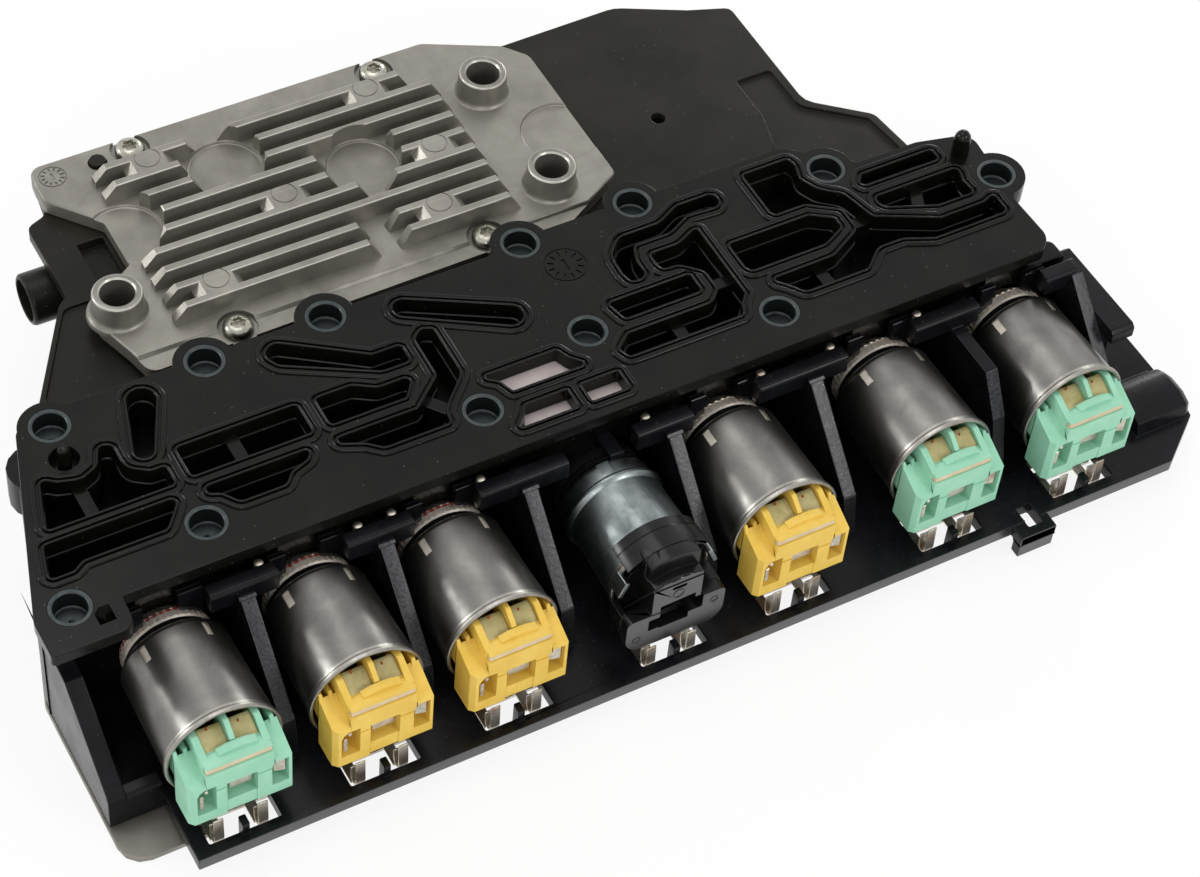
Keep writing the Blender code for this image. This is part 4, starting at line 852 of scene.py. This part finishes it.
class MODULE_OT_nozzles(bpy.types.Operator):
    """Turned snouts with the spring washers between the can and the manifold"""
    bl_idname = "module.nozzles"
    bl_label = "Solenoid snouts and washers"

    def execute(self, context):
        steps = context.scene.solenoid_sizes.steps
        # Each profile is radius and distance behind the manifold's front edge
        snout = [(1.2, 15.0), (4.3, 15.0), (5.0, 14.0), (5.0, 12.6), (4.6, 12.4), (4.6, 11.2), (5.0, 11.0),
                 (5.0, 8.9), (4.4, 8.6), (4.4, 5.6), (4.9, 5.4), (4.9, 0.4), (8.4, 0.2), (8.4, -2.2),
                 (5.2, -2.3), (5.2, -9.0), (1.2, -9.0)]
        cone = [(4.45, 6.0), (4.9, 6.0), (5.4, 5.6), (6.6, 5.0), (8.2, 3.2), (9.6, 1.9), (9.75, 1.55),
                (9.3, 1.35), (7.8, 2.9), (6.2, 4.5), (5.1, 5.1), (4.45, 5.2)]
        discs = [(8.3, 1.3), (9.6, 1.3), (9.9, 1.1), (9.9, -0.3), (9.5, -0.6), (8.3, -0.6)]
        # A black ring of the frame's nylon fills the gap between the washer's discs and the can's shoulder:
        # painted shade for the dark gap
        gap = [(8.3, -0.6), (9.6, -0.6), (9.6, -2.35), (8.3, -2.35)]
        thread = [(9.5, 1.7), (9.95, 1.6), (9.95, 1.4), (9.5, 1.3)]
        collar = [(5.0, 5.6), (8.6, 5.6), (9.4, 5.0), (9.4, 1.2), (10.4, 0.9), (10.4, -0.6), (9.7, -0.9),
                  (9.7, -1.6), (10.3, -1.9), (10.3, -2.4), (5.0, -2.4)]
        ways = {"snout": (snout, "turned", "turned_steel"), "washer": (cone, "washer", "turned_steel"),
                "disc": (discs, "washer", "turned_steel"), "gap": (gap, "frame", "black_frame_nylon"),
                "thread": (thread, "red", ""), "collar": (collar, "black", "black_nylon")}
        made = {}
        x0 = SOLENOIDS[0][0]
        for name, (profile, finish, _) in ways.items():
            around = CONE_FACETS if finish == "washer" else steps
            made[name] = lathe(f"{name}_1", profile, (x0, 0, AXIS_Z), "Y", around)

        def rib(middle, normal):
            side, rise = middle.x - x0, middle.z - AXIS_Z
            turn = int((math.atan2(rise, side) / math.tau * CONE_FACETS) % CONE_FACETS)
            return turn % 2 and normal.y > -0.1 and 5.5 < math.hypot(side, rise) < 9.95

        # Ribs pressed along the flared washer and its edge
        for name in ("washer", "disc"):
            pick_faces(made[name], rib)
            bpy.ops.mesh.inset(thickness=0.08 * MM, depth=0.22 * MM, use_even_offset=True)
            done()
        # Teeth that centre the can
        teeth = []
        for angle in range(20, 380, 60):
            tooth = block("tooth", x0 - 1.0, x0 + 1.0, -2.45, -1.2, AXIS_Z + 9.0, AXIS_Z + 10.15)
            teeth.append(spun(tooth, angle, "Y", (x0, 0, AXIS_Z)))
        made["gap"] = soften(fuse([made["gap"], *teeth]), 0.12, 2)
        for k, (x, colour) in enumerate(SOLENOIDS):
            for name, (_, finish, slot) in ways.items():
                if colour == "black":
                    worn = name in ("snout", "gap", "collar")
                else:
                    worn = name != "collar" and (name != "thread" or k < 3)
                if worn:
                    obj = copy_to(made[name], f"{name}_of_solenoid_{k + 1}", x - x0)
                    stands = [f"solenoid_{k + 1}_nozzle"] if name == "snout" else ()
                    wear(obj, F[finish], nodes=stands, angle=30)
        latch = carved("latch_of_solenoid_4", [(6.0, -3.0), (9.4, -3.0), (9.4, 5.5), (6.0, 5.5)],
                       AXIS_Z + 6, (0, 5.0), *round_over(0.4))
        wear(latch, F["frame"])
        for obj in made.values():
            take(obj)
            bpy.ops.object.delete()
        return {"FINISHED"}


class MODULE_OT_coils(bpy.types.Operator):
    """Bobbins with their windings, and the armatures that slide in them"""
    bl_idname = "module.coils"
    bl_label = "Coils and plungers"

    def execute(self, context):
        for k, (x, colour) in enumerate(SOLENOIDS):
            less = 1.3 if colour == "black" else 0.0
            r = 10.8 - less
            profile = [(5.5, -4.9), (r - 1.2, -4.9), (r - 0.7, -5.3), (r - 0.7, -6.2), (r - 1.5, -6.3),
                       (r - 1.4, -20.8), (r - 0.2, -21.0), (r, -21.2), (r, -22.4), (r - 0.2, -22.6),
                       (5.5, -22.6)]
            obj = lathe(f"coil_{k + 1}", profile, (x, 0, AXIS_Z), "Y", 48)
            wear(obj, F["bobbin"], nodes=[f"solenoid_{k + 1}_coil"])
            pin = [(0, 13.0), (0.7, 13.0), (0.9, 12.8), (0.9, -10.8), (4.7, -10.8), (5.1, -11.2),
                   (5.1, -20.2), (4.7, -20.6), (0, -20.6)]
            obj = lathe(f"armature_{k + 1}", pin, (x, 0, AXIS_Z), "Y", 32, closed=False)
            wear(obj, F["turned"], f"plunger_{k + 1}", [f"solenoid_{k + 1}_plunger"])
        return {"FINISHED"}


def shift(points, x, z=AXIS_Z):
    return [(x + a, z + b) for a, b in points]


def terminal_block(x, name):
    """A coloured terminal block: body, shelf, arched hood and three fins, with its windows cut."""
    z = AXIS_Z
    body = slab(name, [(-28.6, z - 10.6), (-36.0, z - 10.6), (-36.0, z + 1.7), (-28.6, z + 5.1)],
                x - 11.2, x + 11.3, "X")
    trimmed(body, (x - 10.1, -36.0, z), (-7.4, -1.1, 0))
    middle = slab("middle", [(-28.5, z - 1), (-36.0, z - 1), (-36.0, z + 5.0), (-28.5, z + 5.0)], x - 7.4,
                  x + 7.5, "X")
    hood = slab("hood", shift([(-7.2, 6.4), (7.3, 6.4), (7.3, 6.9), (5.6, 7.3), (2.6, 7.7), (0.2, 7.8),
                               (-2.6, 7.7), (-5.6, 7.3), (-7.2, 6.9)], x), -35.7, -32.6, "Y")
    ledge = slab("ledge", shift([(-3.8, 7.0), (4.9, 7.0), (4.9, 8.0), (2.8, 8.6), (0.6, 8.8), (-1.6, 8.6),
                                 (-3.8, 8.0)], x), -34.2, -32.3, "Y")
    core = slab("core", [(-28.6, z - 1), (-33.2, z - 1), (-33.2, z + 7.0), (-31.8, z + 7.0),
                         (-30.6, z + 4.2), (-28.6, z + 4.2)], x - 7.3, x + 7.4, "X")
    fins = [slab("fin", [(-24.2, z + 1), (-24.2, z + top - 0.5), (-28.6, z + top), (-29.2, z + top - 0.1),
                         (-34.6, z + 6.9), (-34.6, z + 5.6), (-33.0, z + 3)], x + left, x + right, "X")
            for left, right, top in ((-7.4, -5.8, 9.2), (-0.45, 0.75, 11.2), (6.0, 7.5, 9.4))]
    blades = [slab("blade", [(-25.0, z - 2), (-25.0, z + 5.4), (-28.4, z + 6.0), (-30.2, z + 4.0),
                             (-30.2, z - 2)], x + left, x + right, "X")
              for left, right in ((-11.1, -10.3), (-9.0, -8.1), (9.6, 10.6))]
    plug = slab("plug", arc(x, z, 11.2, 195, 345, 14) + [(x + 8.0, z + 4.0), (x - 8.0, z + 4.0)], -29.0,
                -24.0, "Y")
    combine(body, [middle, core, hood, ledge, plug, *fins, *blades], "UNION")
    cuts = [slab("window", shift([(-9.4, -7.6), (-5.3, -7.6), (-5.3, 0.5), (-7.7, 0.5), (-8.8, -0.2),
                                  (-9.4, -1.4)], x), -37.0, -30.4, "Y"),
            block("window", x - 2.9, x + 3.7, -37.0, -30.4, z - 6.4, z - 0.1),
            slab("window", shift([(6.9, -7.2), (10.5, -7.2), (10.5, 0.6), (8.0, 0.6), (7.2, -0.1),
                                  (6.9, -1.0)], x), -37.0, -30.4, "Y"),
            block("step", x - 3.0, x + 3.5, -36.5, -35.75, z - 12.0, z - 6.4),
            block("step", x - 3.0, x + 13.0, -36.5, -28.0, z - 12.0, z - 10.2)]
    combine(body, cuts)
    soften(body, 0.16, 2, 38)
    return body


class MODULE_OT_connectors(bpy.types.Operator):
    """Six coloured terminal blocks with their seal strips, bobbin lugs, wires and contact blades"""
    bl_idname = "module.connectors"
    bl_label = "Terminal blocks"

    def execute(self, context):
        x0 = SOLENOIDS[0][0]
        z = AXIS_Z
        first = terminal_block(x0, "terminal_block_1")
        strip = slab("seal_strip_1", shift([(-7.1, 5.0), (7.2, 5.0), (7.2, 6.4), (-7.1, 6.4)], x0), -35.6,
                     -30.0, "Y")
        soften(strip, 0.15, 2)
        lugs = [slab("bobbin_lugs_1", [(-32.9, z + 4.4), (-32.9, z + 6.6), (-28.2, z + 8.6),
                                       (-27.0, z + 8.6), (-27.0, z + 4.4)], x0 + left, x0 + right, "X")
                for left, right in ((-5.7, -0.5), (0.8, 5.9))]
        lug = fuse(lugs)
        soften(lug, 0.25, 2)
        wires = []
        for dx, y, top in ((-3.6, -27.0, 9.6), (3.0, -27.6, 8.8)):
            wires.append(lathe("winding_tails_1", [(0, 0), (0.22, 0), (0.22, top - 6.6), (0.12, top - 6.4),
                                                   (0, top - 6.4)], (x0 + dx, y - 0.9, z + 6.6), "Z", 12,
                               False))
        tails = fuse(wires)
        tilted = block("plate", x0 + 7.7, x0 + 10.2, -34.9, -34.5, z - 4.6, z - 0.4)
        spun(tilted, 14, "Z", (x0 + 9, -34.7, z))
        plates = [block("contact_blades_1", x0 - 8.7, x0 - 7.8, -35.3, -35.0, z - 6.8, z - 2.6), tilted,
                  block("plate", x0 - 1.8, x0 + 3.3, -34.2, -33.8, z - 5.0, z - 2.0),
                  lathe("pin", [(0, 0), (0.5, 0.1), (0.5, 4.4), (0, 4.4)], (x0 - 7.0, -35.0, z - 2.3), "Y",
                        16, False)]
        blades = fuse(plates)
        soften(blades, 0.1, 1)
        for k, (x, colour) in enumerate(SOLENOIDS):
            if colour == "black":
                continue
            n = k + 1
            made = [o if k == 0 else copy_to(o, o.name[:-1] + str(n), x - x0)
                    for o in (first, strip, lug, tails, blades)]
            wear(made[0], F[colour], nodes=[f"solenoid_{n}_connector"])
            wear(made[1], F["strip"])
            wear(made[2], F["bobbin"])
            wear(made[3], F["copper"])
            wear(made[4], F["tin"])
        return {"FINISHED"}


class MODULE_OT_switch(bpy.types.Operator):
    """Black terminal block of the on-off solenoid with its saddle over the can"""
    bl_idname = "module.switch"
    bl_label = "On-off terminal block"

    def execute(self, context):
        x, z = SOLENOIDS[3][0], AXIS_Z
        low = slab("switch_block", rounded([(x - 12, z - 12, 4.4), (x + 12, z - 12, 4.4),
                                            (x + 12, z - 1.5, 1.4), (x - 12, z - 1.5, 1.4)]), -36.0, -33.0,
                   "Y")
        shoulder = block("shoulder", x - 12, x + 12, -33.4, -28.4, z - 6.5, z - 1.7)
        high = slab("high", [(x - 6.2, z - 2), (x + 5.8, z - 2), (x + 5.8, z + 7.0), (x + 3.0, z + 7.9),
                             (x, z + 8.2), (x - 3.0, z + 8.1), (x - 6.2, z + 7.4)], -35.9, -28.0, "Y")
        plug = slab("plug", arc(x, z, 9.9, 140, 400, 26), -29.0, -23.5, "Y")
        saddle = slab("saddle", arc(x, z, 13.0, 138, 42, 16) + arc(x, z, 11.9, 42, 138, 16), -30.4, -23.0,
                      "Y")
        ridge = slab("ridge", arc(x, z, 13.15, 138, 42, 16) + arc(x, z, 12.4, 42, 138, 16), -30.4, -25.6,
                     "Y")
        bridge = slab("bridge", arc(x, z, 12.9, 118, 62, 10) + [(x + 5.8, z + 6.0), (x - 6.2, z + 6.0)],
                      -33.4, -28.0, "Y")
        slope = slab("slope", [(-28.5, z + 6.5), (-35.9, z + 6.5), (-35.9, z + 8.0), (-33.0, z + 10.6),
                               (-30.4, z + 12.2), (-28.5, z + 12.2)], x - 6.2, x + 5.8, "X")
        crown = slab("crown", arc(x, z - 8, 16.4, 115, 65, 12) + [(x + 9, z + 20), (x - 9, z + 20)], -37,
                     -31.5, "Y")
        combine(slope, [crown])
        combine(low, [shoulder, high, plug, saddle, ridge, bridge, slope], "UNION")
        cuts = [slab("window", shift([(-4.0, -7.0), (3.0, -7.0), (3.0, -5.2), (6.4, -5.2), (6.4, -1.0),
                                      (4.4, -1.0), (4.4, 0.6), (-4.0, 0.2)], x), -37, -31.0, "Y"),
                block("notch", x - 6.6, x - 3.4, -37, -32.5, z - 6.6, z - 3.2),
                slab("slit", stadium((x - 1.2, z + 5.1, 0.42), (x + 1.4, z + 5.1, 0.42)), -37, -34.8, "Y"),
                slab("mark", ring(x, z + 2.9, 1.3, 24), -37, -35.78, "Y"),
                slab("mark", ring(x - 9.3, z - 8.3, 0.9, 20), -37, -35.85, "Y"),
                slab("mark", ring(x + 9.3, z - 4.4, 0.9, 20), -37, -35.85, "Y"),
                block("side_pocket", x - 10.6, x - 6.6, -32.4, -29.0, z - 5.0, z + 4.0)]
        combine(low, cuts)
        soften(low, 0.2, 2, 38)
        wear(low, F["black"], nodes=["solenoid_4_connector"], more=[F["front"]])
        paint(low, 1, lambda spot, normal: normal.y < -0.9 and spot.y < -35.0)
        tabs = []
        for angle in (158, 22):
            cx, cz = 11.6 * math.cos(math.radians(angle)), 11.6 * math.sin(math.radians(angle))
            tab = block("crimp_tabs", x + cx - 0.6, x + cx + 0.6, -31.4, -27.4, z + cz - 2.2, z + cz + 2.2)
            tabs.append(spun(tab, angle, "Y", (x + cx, -29, z + cz)))
        tab = soften(fuse(tabs), 0.25, 3)
        wear(tab, F["zinc"])
        return {"FINISHED"}


class MODULE_OT_lead_frame(bpy.types.Operator):
    """Stamped lead frame whose U-bent spring tabs stand under each terminal block"""
    bl_idname = "module.lead_frame"
    bl_label = "Lead frame"

    def execute(self, context):
        parts = [block("lead_frame_strip", SOLENOIDS[0][0] - 8, SOLENOIDS[-1][0] + 8, -30.0, -27.4, 2.7,
                       3.6)]
        for x, colour in SOLENOIDS:
            top = AXIS_Z - (12.0 if colour == "black" else 10.6) - 0.5
            for side in (-5.4, 4.4):
                bend = [(-36.6, top), (-36.9, 6.4), (-36.6, 5.0), (-35.9, 4.3), (-34.9, 4.3), (-34.3, 5.0),
                        (-34.1, 6.4), (-34.0, 8.6), (-34.4, 8.6), (-34.5, 6.4), (-34.8, 5.2), (-35.2, 4.8),
                        (-35.7, 4.8), (-36.2, 5.3), (-36.4, 6.4), (-36.2, top)]
                parts.append(slab("tab", bend, x + side - 1.1, x + side + 1.1, "X"))
                parts.append(block("foot", x + side - 1.2, x + side + 1.2, -34.6, -29.0, 3.0, 3.6))
        obj = soften(fuse(parts), 0.1, 1, 50)
        wear(obj, F["tin"], nodes=["lead_frame"])
        return {"FINISHED"}


class MODULE_OT_castings(bpy.types.Operator):
    """Frame, housing and base plate with their moulded and cast edges rounded"""
    bl_idname = "module.castings"
    bl_label = "Frame, housing and castings"

    def execute(self, context):
        frame_piece = soften(twin("solenoid_frame", "frame_moulding"), 0.3, 2, 30)
        # Guide rails behind the bars, beside each coloured solenoid, and the wall that closes the right end
        section = [(0.6, 30.0), (0.6, 38.35), (0.75, 38.5), (1.15, 38.5), (1.25, 38.35), (1.25, 37.7),
                   (1.6, 37.7), (1.6, 38.35), (1.7, 38.5), (2.1, 38.5), (2.2, 38.35), (2.2, 30.0)]
        rails = [slab("rail", section, x + left, x + right, "X") for x, colour in SOLENOIDS
                 if colour != "black" for left, right in ((-8.4, -4.7), (3.2, 8.5))]
        corner = carved("corner", rounded([(116.0, 3.0, 0), (127.3, 3.0, 0), (127.3, 8.8, 2),
                                           (116.0, 8.8, 0)]), 7.0, (0, 29.5), *round_over(0.6))
        caps = [slab("cap", [(-5.4, 30.0), (-5.4, 37.2), (-4.9, 37.7), (-3.0, 37.7), (-3.0, 30.0)], x - 1.9,
                     x + 1.9, "X") for x in STRUTS[:-1]]
        # The rounded edges stop at the frame's real front and right end
        trimmed(frame_piece, (0, FRAME_FRONT, 0), (0, -1, 0), 1e-7)
        trimmed(frame_piece, (FRAME_RIGHT, 0, 0), (1, 0, 0), 1e-7)
        frame_piece = fuse([frame_piece, *rails, corner, *caps])
        wear(frame_piece, F["frame"], nodes=["solenoid_frame"],
             more=[F["grain"], F["front"]])
        # The spark-eroded grain shows on the sloping backs of the struts
        paint(frame_piece, 1, lambda spot, normal: -26.0 < spot.y < -4.0 and normal.z > 0.3
              and normal.y < -0.3 and min(abs(spot.x - x) for x in (*STRUTS, 125.8)) < 1.5)
        paint(frame_piece, 2, lambda spot, normal: normal.y < -0.9 and spot.y < -40.0)
        # Silver heads of the contact pins that stand behind the bars
        pin = lathe("contact_pins", [(0, -9.0), (1.05, -9.0), (1.05, -0.5), (0.9, -0.2), (0.6, 0.0),
                                     (0, 0.1)], (PINS[0], 0.5, 39.8), "Z", 24, False)
        pins = fuse([pin, *(copy_to(pin, "pin", x - PINS[0]) for x in PINS[1:])])
        wear(pins, F["tin"], angle=50)
        housing = soften(twin("rear_housing", "housing_moulding"), 0.35, 2, 30)
        wear(housing, F["housing"], nodes=["rear_housing"])
        plate = soften(twin("base_plate", "base_plate_blank"), 0.25, 2, 30)
        wear(plate, F["cast"], nodes=["base_plate"])
        for name, finish in (("screen_plate", "screen"), ("circuit_board", "board")):
            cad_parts[name].data.materials.clear()
            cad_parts[name].data.materials.append(F[finish])
        return {"FINISHED"}


def fin(left, right, y):
    """One length of fin: a drafted section with rounded crests, cut slanting at its ends."""
    low, crest = SINK_Z - 0.4, SINK_Z + FIN_H
    side = [(-1.3, low), (-0.95, crest - 0.35), (-0.88, crest - 0.12), (-0.68, crest)]
    made = slab("fin", [(y + dy, z) for dy, z in side] + [(y - dy, z) for dy, z in reversed(side)],
                left - 3.0, right + 3.0, "X")
    slope = 2.2 if left < -53 else 0.6
    for end, run, aim in ((left, slope, -1), (right, 0.6, 1)):
        trimmed(made, (end, y, crest), (aim * (crest - low), 0, run))
    return made


class MODULE_OT_heat_sink(bpy.types.Operator):
    """Die-cast heat sink: slab, drafted fins, webs with ejector marks, bosses, dishes and screw seats"""
    bl_idname = "module.heat_sink"
    bl_label = "Heat sink"

    def execute(self, context):
        crest = SINK_Z + FIN_H
        sink = carved("heat_sink_casting", rounded(SINK), COVER_Z + 0.3, (0, 3.2), (0.12, 0.28),
                      (0.3, 0.22))
        row = [FIN_FIRST_Y - k * FIN_PITCH for k in range(9)]
        bosses = [lathe("boss", [(0, -1.0), (7.1, -1.0), (6.9, -0.1), (6.5, 0.15), (6.1, 0.6), (5.85, 1.4),
                                 (5.6, 5.6), (5.45, 5.85), (5.2, 6.0), (0, 6.0)], (x, y, SINK_Z), "Z", 48,
                        False) for x, y in BOSSES]
        fins = [fin(left, right, row[k]) for k, left, right in FINS]
        webs = []
        for k, left, right in WEBS:
            web = slab("web", [(row[k] - FIN_PITCH + 0.2, SINK_Z - 0.35),
                               (row[k] - FIN_PITCH + 0.2, crest - 0.02), (row[k] - 0.2, crest - 0.02),
                               (row[k] - 0.2, SINK_Z - 0.35)], left - 2, right + 2, "X")
            for end, aim in ((left, -1), (right, 1)):
                trimmed(web, (end, 0, crest), (aim * FIN_H, 0, 1.2))
            webs.append(web)
        combine(sink, [fuse(bosses)], "UNION")
        combine(sink, [fuse([*fins, *webs])], "UNION", overlapping=True)
        dishes = [carved("dish", ring(x, y, r + 0.1, 72), crest + 2, (0, SINK_Z + 0.1 - crest - 2),
                         (0.12, -0.15), (0.2, -0.5), (0.35, -0.2)) for x, y, r in DISHES]
        combine(sink, [fuse(dishes)])
        marks = []
        for k, left, right in WEBS:
            outer = carved("mark", ring((left + right) / 2, row[k] - 1.42, 3.0), crest + 1, (0, -1.22))
            inner = carved("mark", ring((left + right) / 2, row[k] - 1.42, 2.75), crest - 1, (0, 3.0))
            marks.append(combine(outer, [inner]))
        seats = [carved("seat", ring(x, y, 4.6), crest + 2, (0, SINK_Z - crest - 2), (0.12, -0.2),
                        (0, -1.0), (2.3, -0.05), (0, -4.0)) for x, y in SCREWS]
        bores = [carved("bore", ring(x, y, 4.25), SEAL_Z + 1, (0, -1.0), (0.35, -0.35), (0, -11.0))
                 for x, y in BOSSES]
        edge = block("edge_step", -80, 48, 55, 61.4, SINK_Z - 0.7, SINK_Z + 0.5)
        bevel_line = slab("bevel", [(61.3, SINK_Z - 0.75), (61.3, SINK_Z + 1), (62.2, SINK_Z + 1),
                                    (61.95, SINK_Z - 0.1)], -80, 48, "X")
        plug_hole = carved("plug_hole", ring(-59.8, 118.9, 2.35, 28), SINK_Z + 1, (0, -0.9), (0.1, -0.1),
                           (0, -5.0))
        marks.append(dial(-70.6, 119.0, SINK_Z, 3.2))
        combine(sink, [fuse(marks)])
        combine(sink, [fuse([*seats, *bores, plug_hole])])
        combine(sink, [edge])
        combine(sink, [bevel_line])
        wear(sink, F["cast"], nodes=["heat_sink"],
             more=[F["machined"], F["crest"]])
        # Painted highlight: the sloping edges of the fin crests and boss rims take the brighter finish
        paint(sink, 2, lambda spot, normal: 0.1 < normal.z < 0.98
              and (spot.z > SEAL_Z - 0.4 or crest - 0.4 < spot.z < crest + 0.1))
        paint(sink, 1, lambda spot, normal: spot.z > SEAL_Z - 0.1 and normal.z > 0.9)
        return {"FINISHED"}


class MODULE_OT_screws(bpy.types.Operator):
    """Pan-head screws with a six-lobed socket"""
    bl_idname = "module.screws"
    bl_label = "Heat sink screws"

    def execute(self, context):
        x0, y0 = SCREWS[0]
        top = SINK_Z - 0.9
        profile = [(0, -6.0), (1.7, -6.0), (2.0, -5.6), (2.0, 0), (3.2, 0), (3.4, 0.2), (3.4, 0.7),
                   (3.1, 1.4), (2.5, 1.9), (1.8, 2.15), (0, 2.2)]
        first = lathe("pan_screw_1", profile, (x0, y0, top), "Z", 48, closed=False)
        star = [(x0 + r * math.cos(math.radians(15 * k)), y0 + r * math.sin(math.radians(15 * k)))
                for k in range(24) for r in ((1.75, 1.6, 1.25, 1.6)[k % 4],)]
        combine(first, [slab("socket", star, top + 0.9, top + 3.0)])
        soften(first, 0.08, 1, 50)
        for k, (x, y) in enumerate(SCREWS):
            obj = first if k == 0 else copy_to(first, f"pan_screw_{k + 1}", x - x0, y - y0)
            wear(obj, F["screw"], nodes=[f"heat_sink_screw_{k + 1}"])
        return {"FINISHED"}


# Lamps: name, place and size in metres, share of the key's power
LAMPS = (("lamp_overhead", (-0.10, 0.25, 1.05), 0.6, 0.75),
         ("lamp_front_left", (-0.45, -0.85, 0.5), 0.28, 0.45),
         ("lamp_front_right", (0.45, -0.85, 0.6), 0.2, 0.7),
         ("lamp_back_left", (-0.85, 0.6, 0.42), 0.2, 0.8),
         ("lamp_back_right", (0.8, 0.75, 0.38), 0.2, 0.8))
LAMPS_AIM = Vector((0, 0, 0.02))
# Share of white that the floor gives back to the camera, the rest being the paper with the object's shadow
FLOOR_GLOW = 0.87
# The photograph's camera, as fitted to it
LENS = 93.254
CAMERA_PLACE = (-0.24073235, -0.39193584, 0.54747176)
CAMERA_TURN = Matrix(((0.8751, 0.3312, -0.3528), (-0.4788, 0.6980, -0.5325), (0.0699, 0.6349, 0.7694)))


def seen_directly(tree):
    """One for what the camera sees, also in reflections, and zero for light on the object."""
    path = add(tree, "LightPath").outputs
    seen = add(tree, "Math", {0: path["Is Camera Ray"], 1: path["Is Glossy Ray"]}, operation="MAXIMUM")
    return add(tree, "Math", {0: seen.outputs[0], 1: path["Is Transmission Ray"]},
               operation="MAXIMUM").outputs[0]


class MODULE_OT_stage(bpy.types.Operator):
    """Pale floor, white surroundings, soft lamps and the camera"""
    bl_idname = "module.stage"
    bl_label = "Studio and camera"

    def execute(self, context):
        light = context.scene.stage_light
        scene = context.scene
        scene.view_settings.view_transform = "Standard"
        clear()
        bpy.ops.mesh.primitive_plane_add(size=6.0, location=(0, 0, -0.0002))
        floor = context.object
        floor.name = "studio_floor"
        made = bpy.data.materials.new("paper_pale_floor")
        tree = emptied(made)
        share = add(tree, "Math", {0: seen_directly(tree), 1: FLOOR_GLOW}, operation="MULTIPLY")
        plain = add(tree, "BsdfDiffuse", {"Color": linear("#F4F4F2")})
        glow = add(tree, "Emission", {"Color": (1, 1, 1, 1), "Strength": 1.0})
        both = add(tree, "MixShader", {0: share.outputs[0], 1: plain.outputs[0], 2: glow.outputs[0]})
        add(tree, "OutputMaterial", {"Surface": both.outputs[0]})
        floor.data.materials.append(made)
        scene.world = bpy.data.worlds.new("white_surroundings")
        tree = emptied(scene.world)
        level = add(tree, "MapRange", {"Value": seen_directly(tree), "To Min": light.ambient,
                                       "To Max": 1.0})
        back = add(tree, "Background", {"Color": (1, 1, 1, 1), "Strength": level.outputs[0]})
        add(tree, "OutputWorld", {"Surface": back.outputs[0]})
        for name, place, size, part in LAMPS:
            bpy.ops.object.light_add(type="AREA", location=place)
            lamp = context.object
            lamp.name = name
            lamp.data.size = size
            lamp.data.energy = light.key * part
            lamp.rotation_euler = (LAMPS_AIM - Vector(place)).to_track_quat("-Z", "Y").to_euler()
        bpy.ops.object.camera_add()
        camera = context.object
        camera.name = "photo_camera"
        camera.data.sensor_width = 36.0
        camera.data.lens = LENS
        camera.data.clip_start = 0.01
        camera.data.clip_end = 20.0
        camera.matrix_world = Matrix.Translation(CAMERA_PLACE) @ CAMERA_TURN.to_4x4()
        scene.camera = camera
        return {"FINISHED"}


class MODULE_PT_panel(bpy.types.Panel):
    """Lists the module's pieces"""
    bl_idname = "MODULE_PT_panel"
    bl_label = "Control module"
    bl_space_type = "VIEW_3D"
    bl_region_type = "UI"
    bl_category = "Control Module"

    def draw(self, context):
        for group in GROUPS:
            settings = getattr(context.scene, group)
            for name in settings.__annotations__:
                self.layout.prop(settings, name)
        for step in STEPS:
            self.layout.operator(step.bl_idname)


STEPS = (MODULE_OT_manifold, MODULE_OT_bushings, MODULE_OT_cans, MODULE_OT_nozzles, MODULE_OT_coils,
         MODULE_OT_connectors, MODULE_OT_switch, MODULE_OT_lead_frame, MODULE_OT_castings,
         MODULE_OT_heat_sink, MODULE_OT_screws, MODULE_OT_stage)
GROUPS = {"manifold_sizes": ManifoldSizes, "solenoid_sizes": SolenoidSizes,
          "connector_colours": ConnectorColours, "stage_light": StageLight}


def register():
    for cls in (*GROUPS.values(), *STEPS, MODULE_PT_panel):
        bpy.utils.register_class(cls)
    for name, cls in GROUPS.items():
        setattr(bpy.types.Scene, name, bpy.props.PointerProperty(type=cls))


def unregister():
    for name in GROUPS:
        delattr(bpy.types.Scene, name)
    for cls in reversed((*GROUPS.values(), *STEPS, MODULE_PT_panel)):
        bpy.utils.unregister_class(cls)


def main():
    register()
    mix_finishes()
    for step in STEPS:
        group, name = step.bl_idname.split(".")
        getattr(getattr(bpy.ops, group), name)()
    clear()


if __name__ == "__main__":
    main()
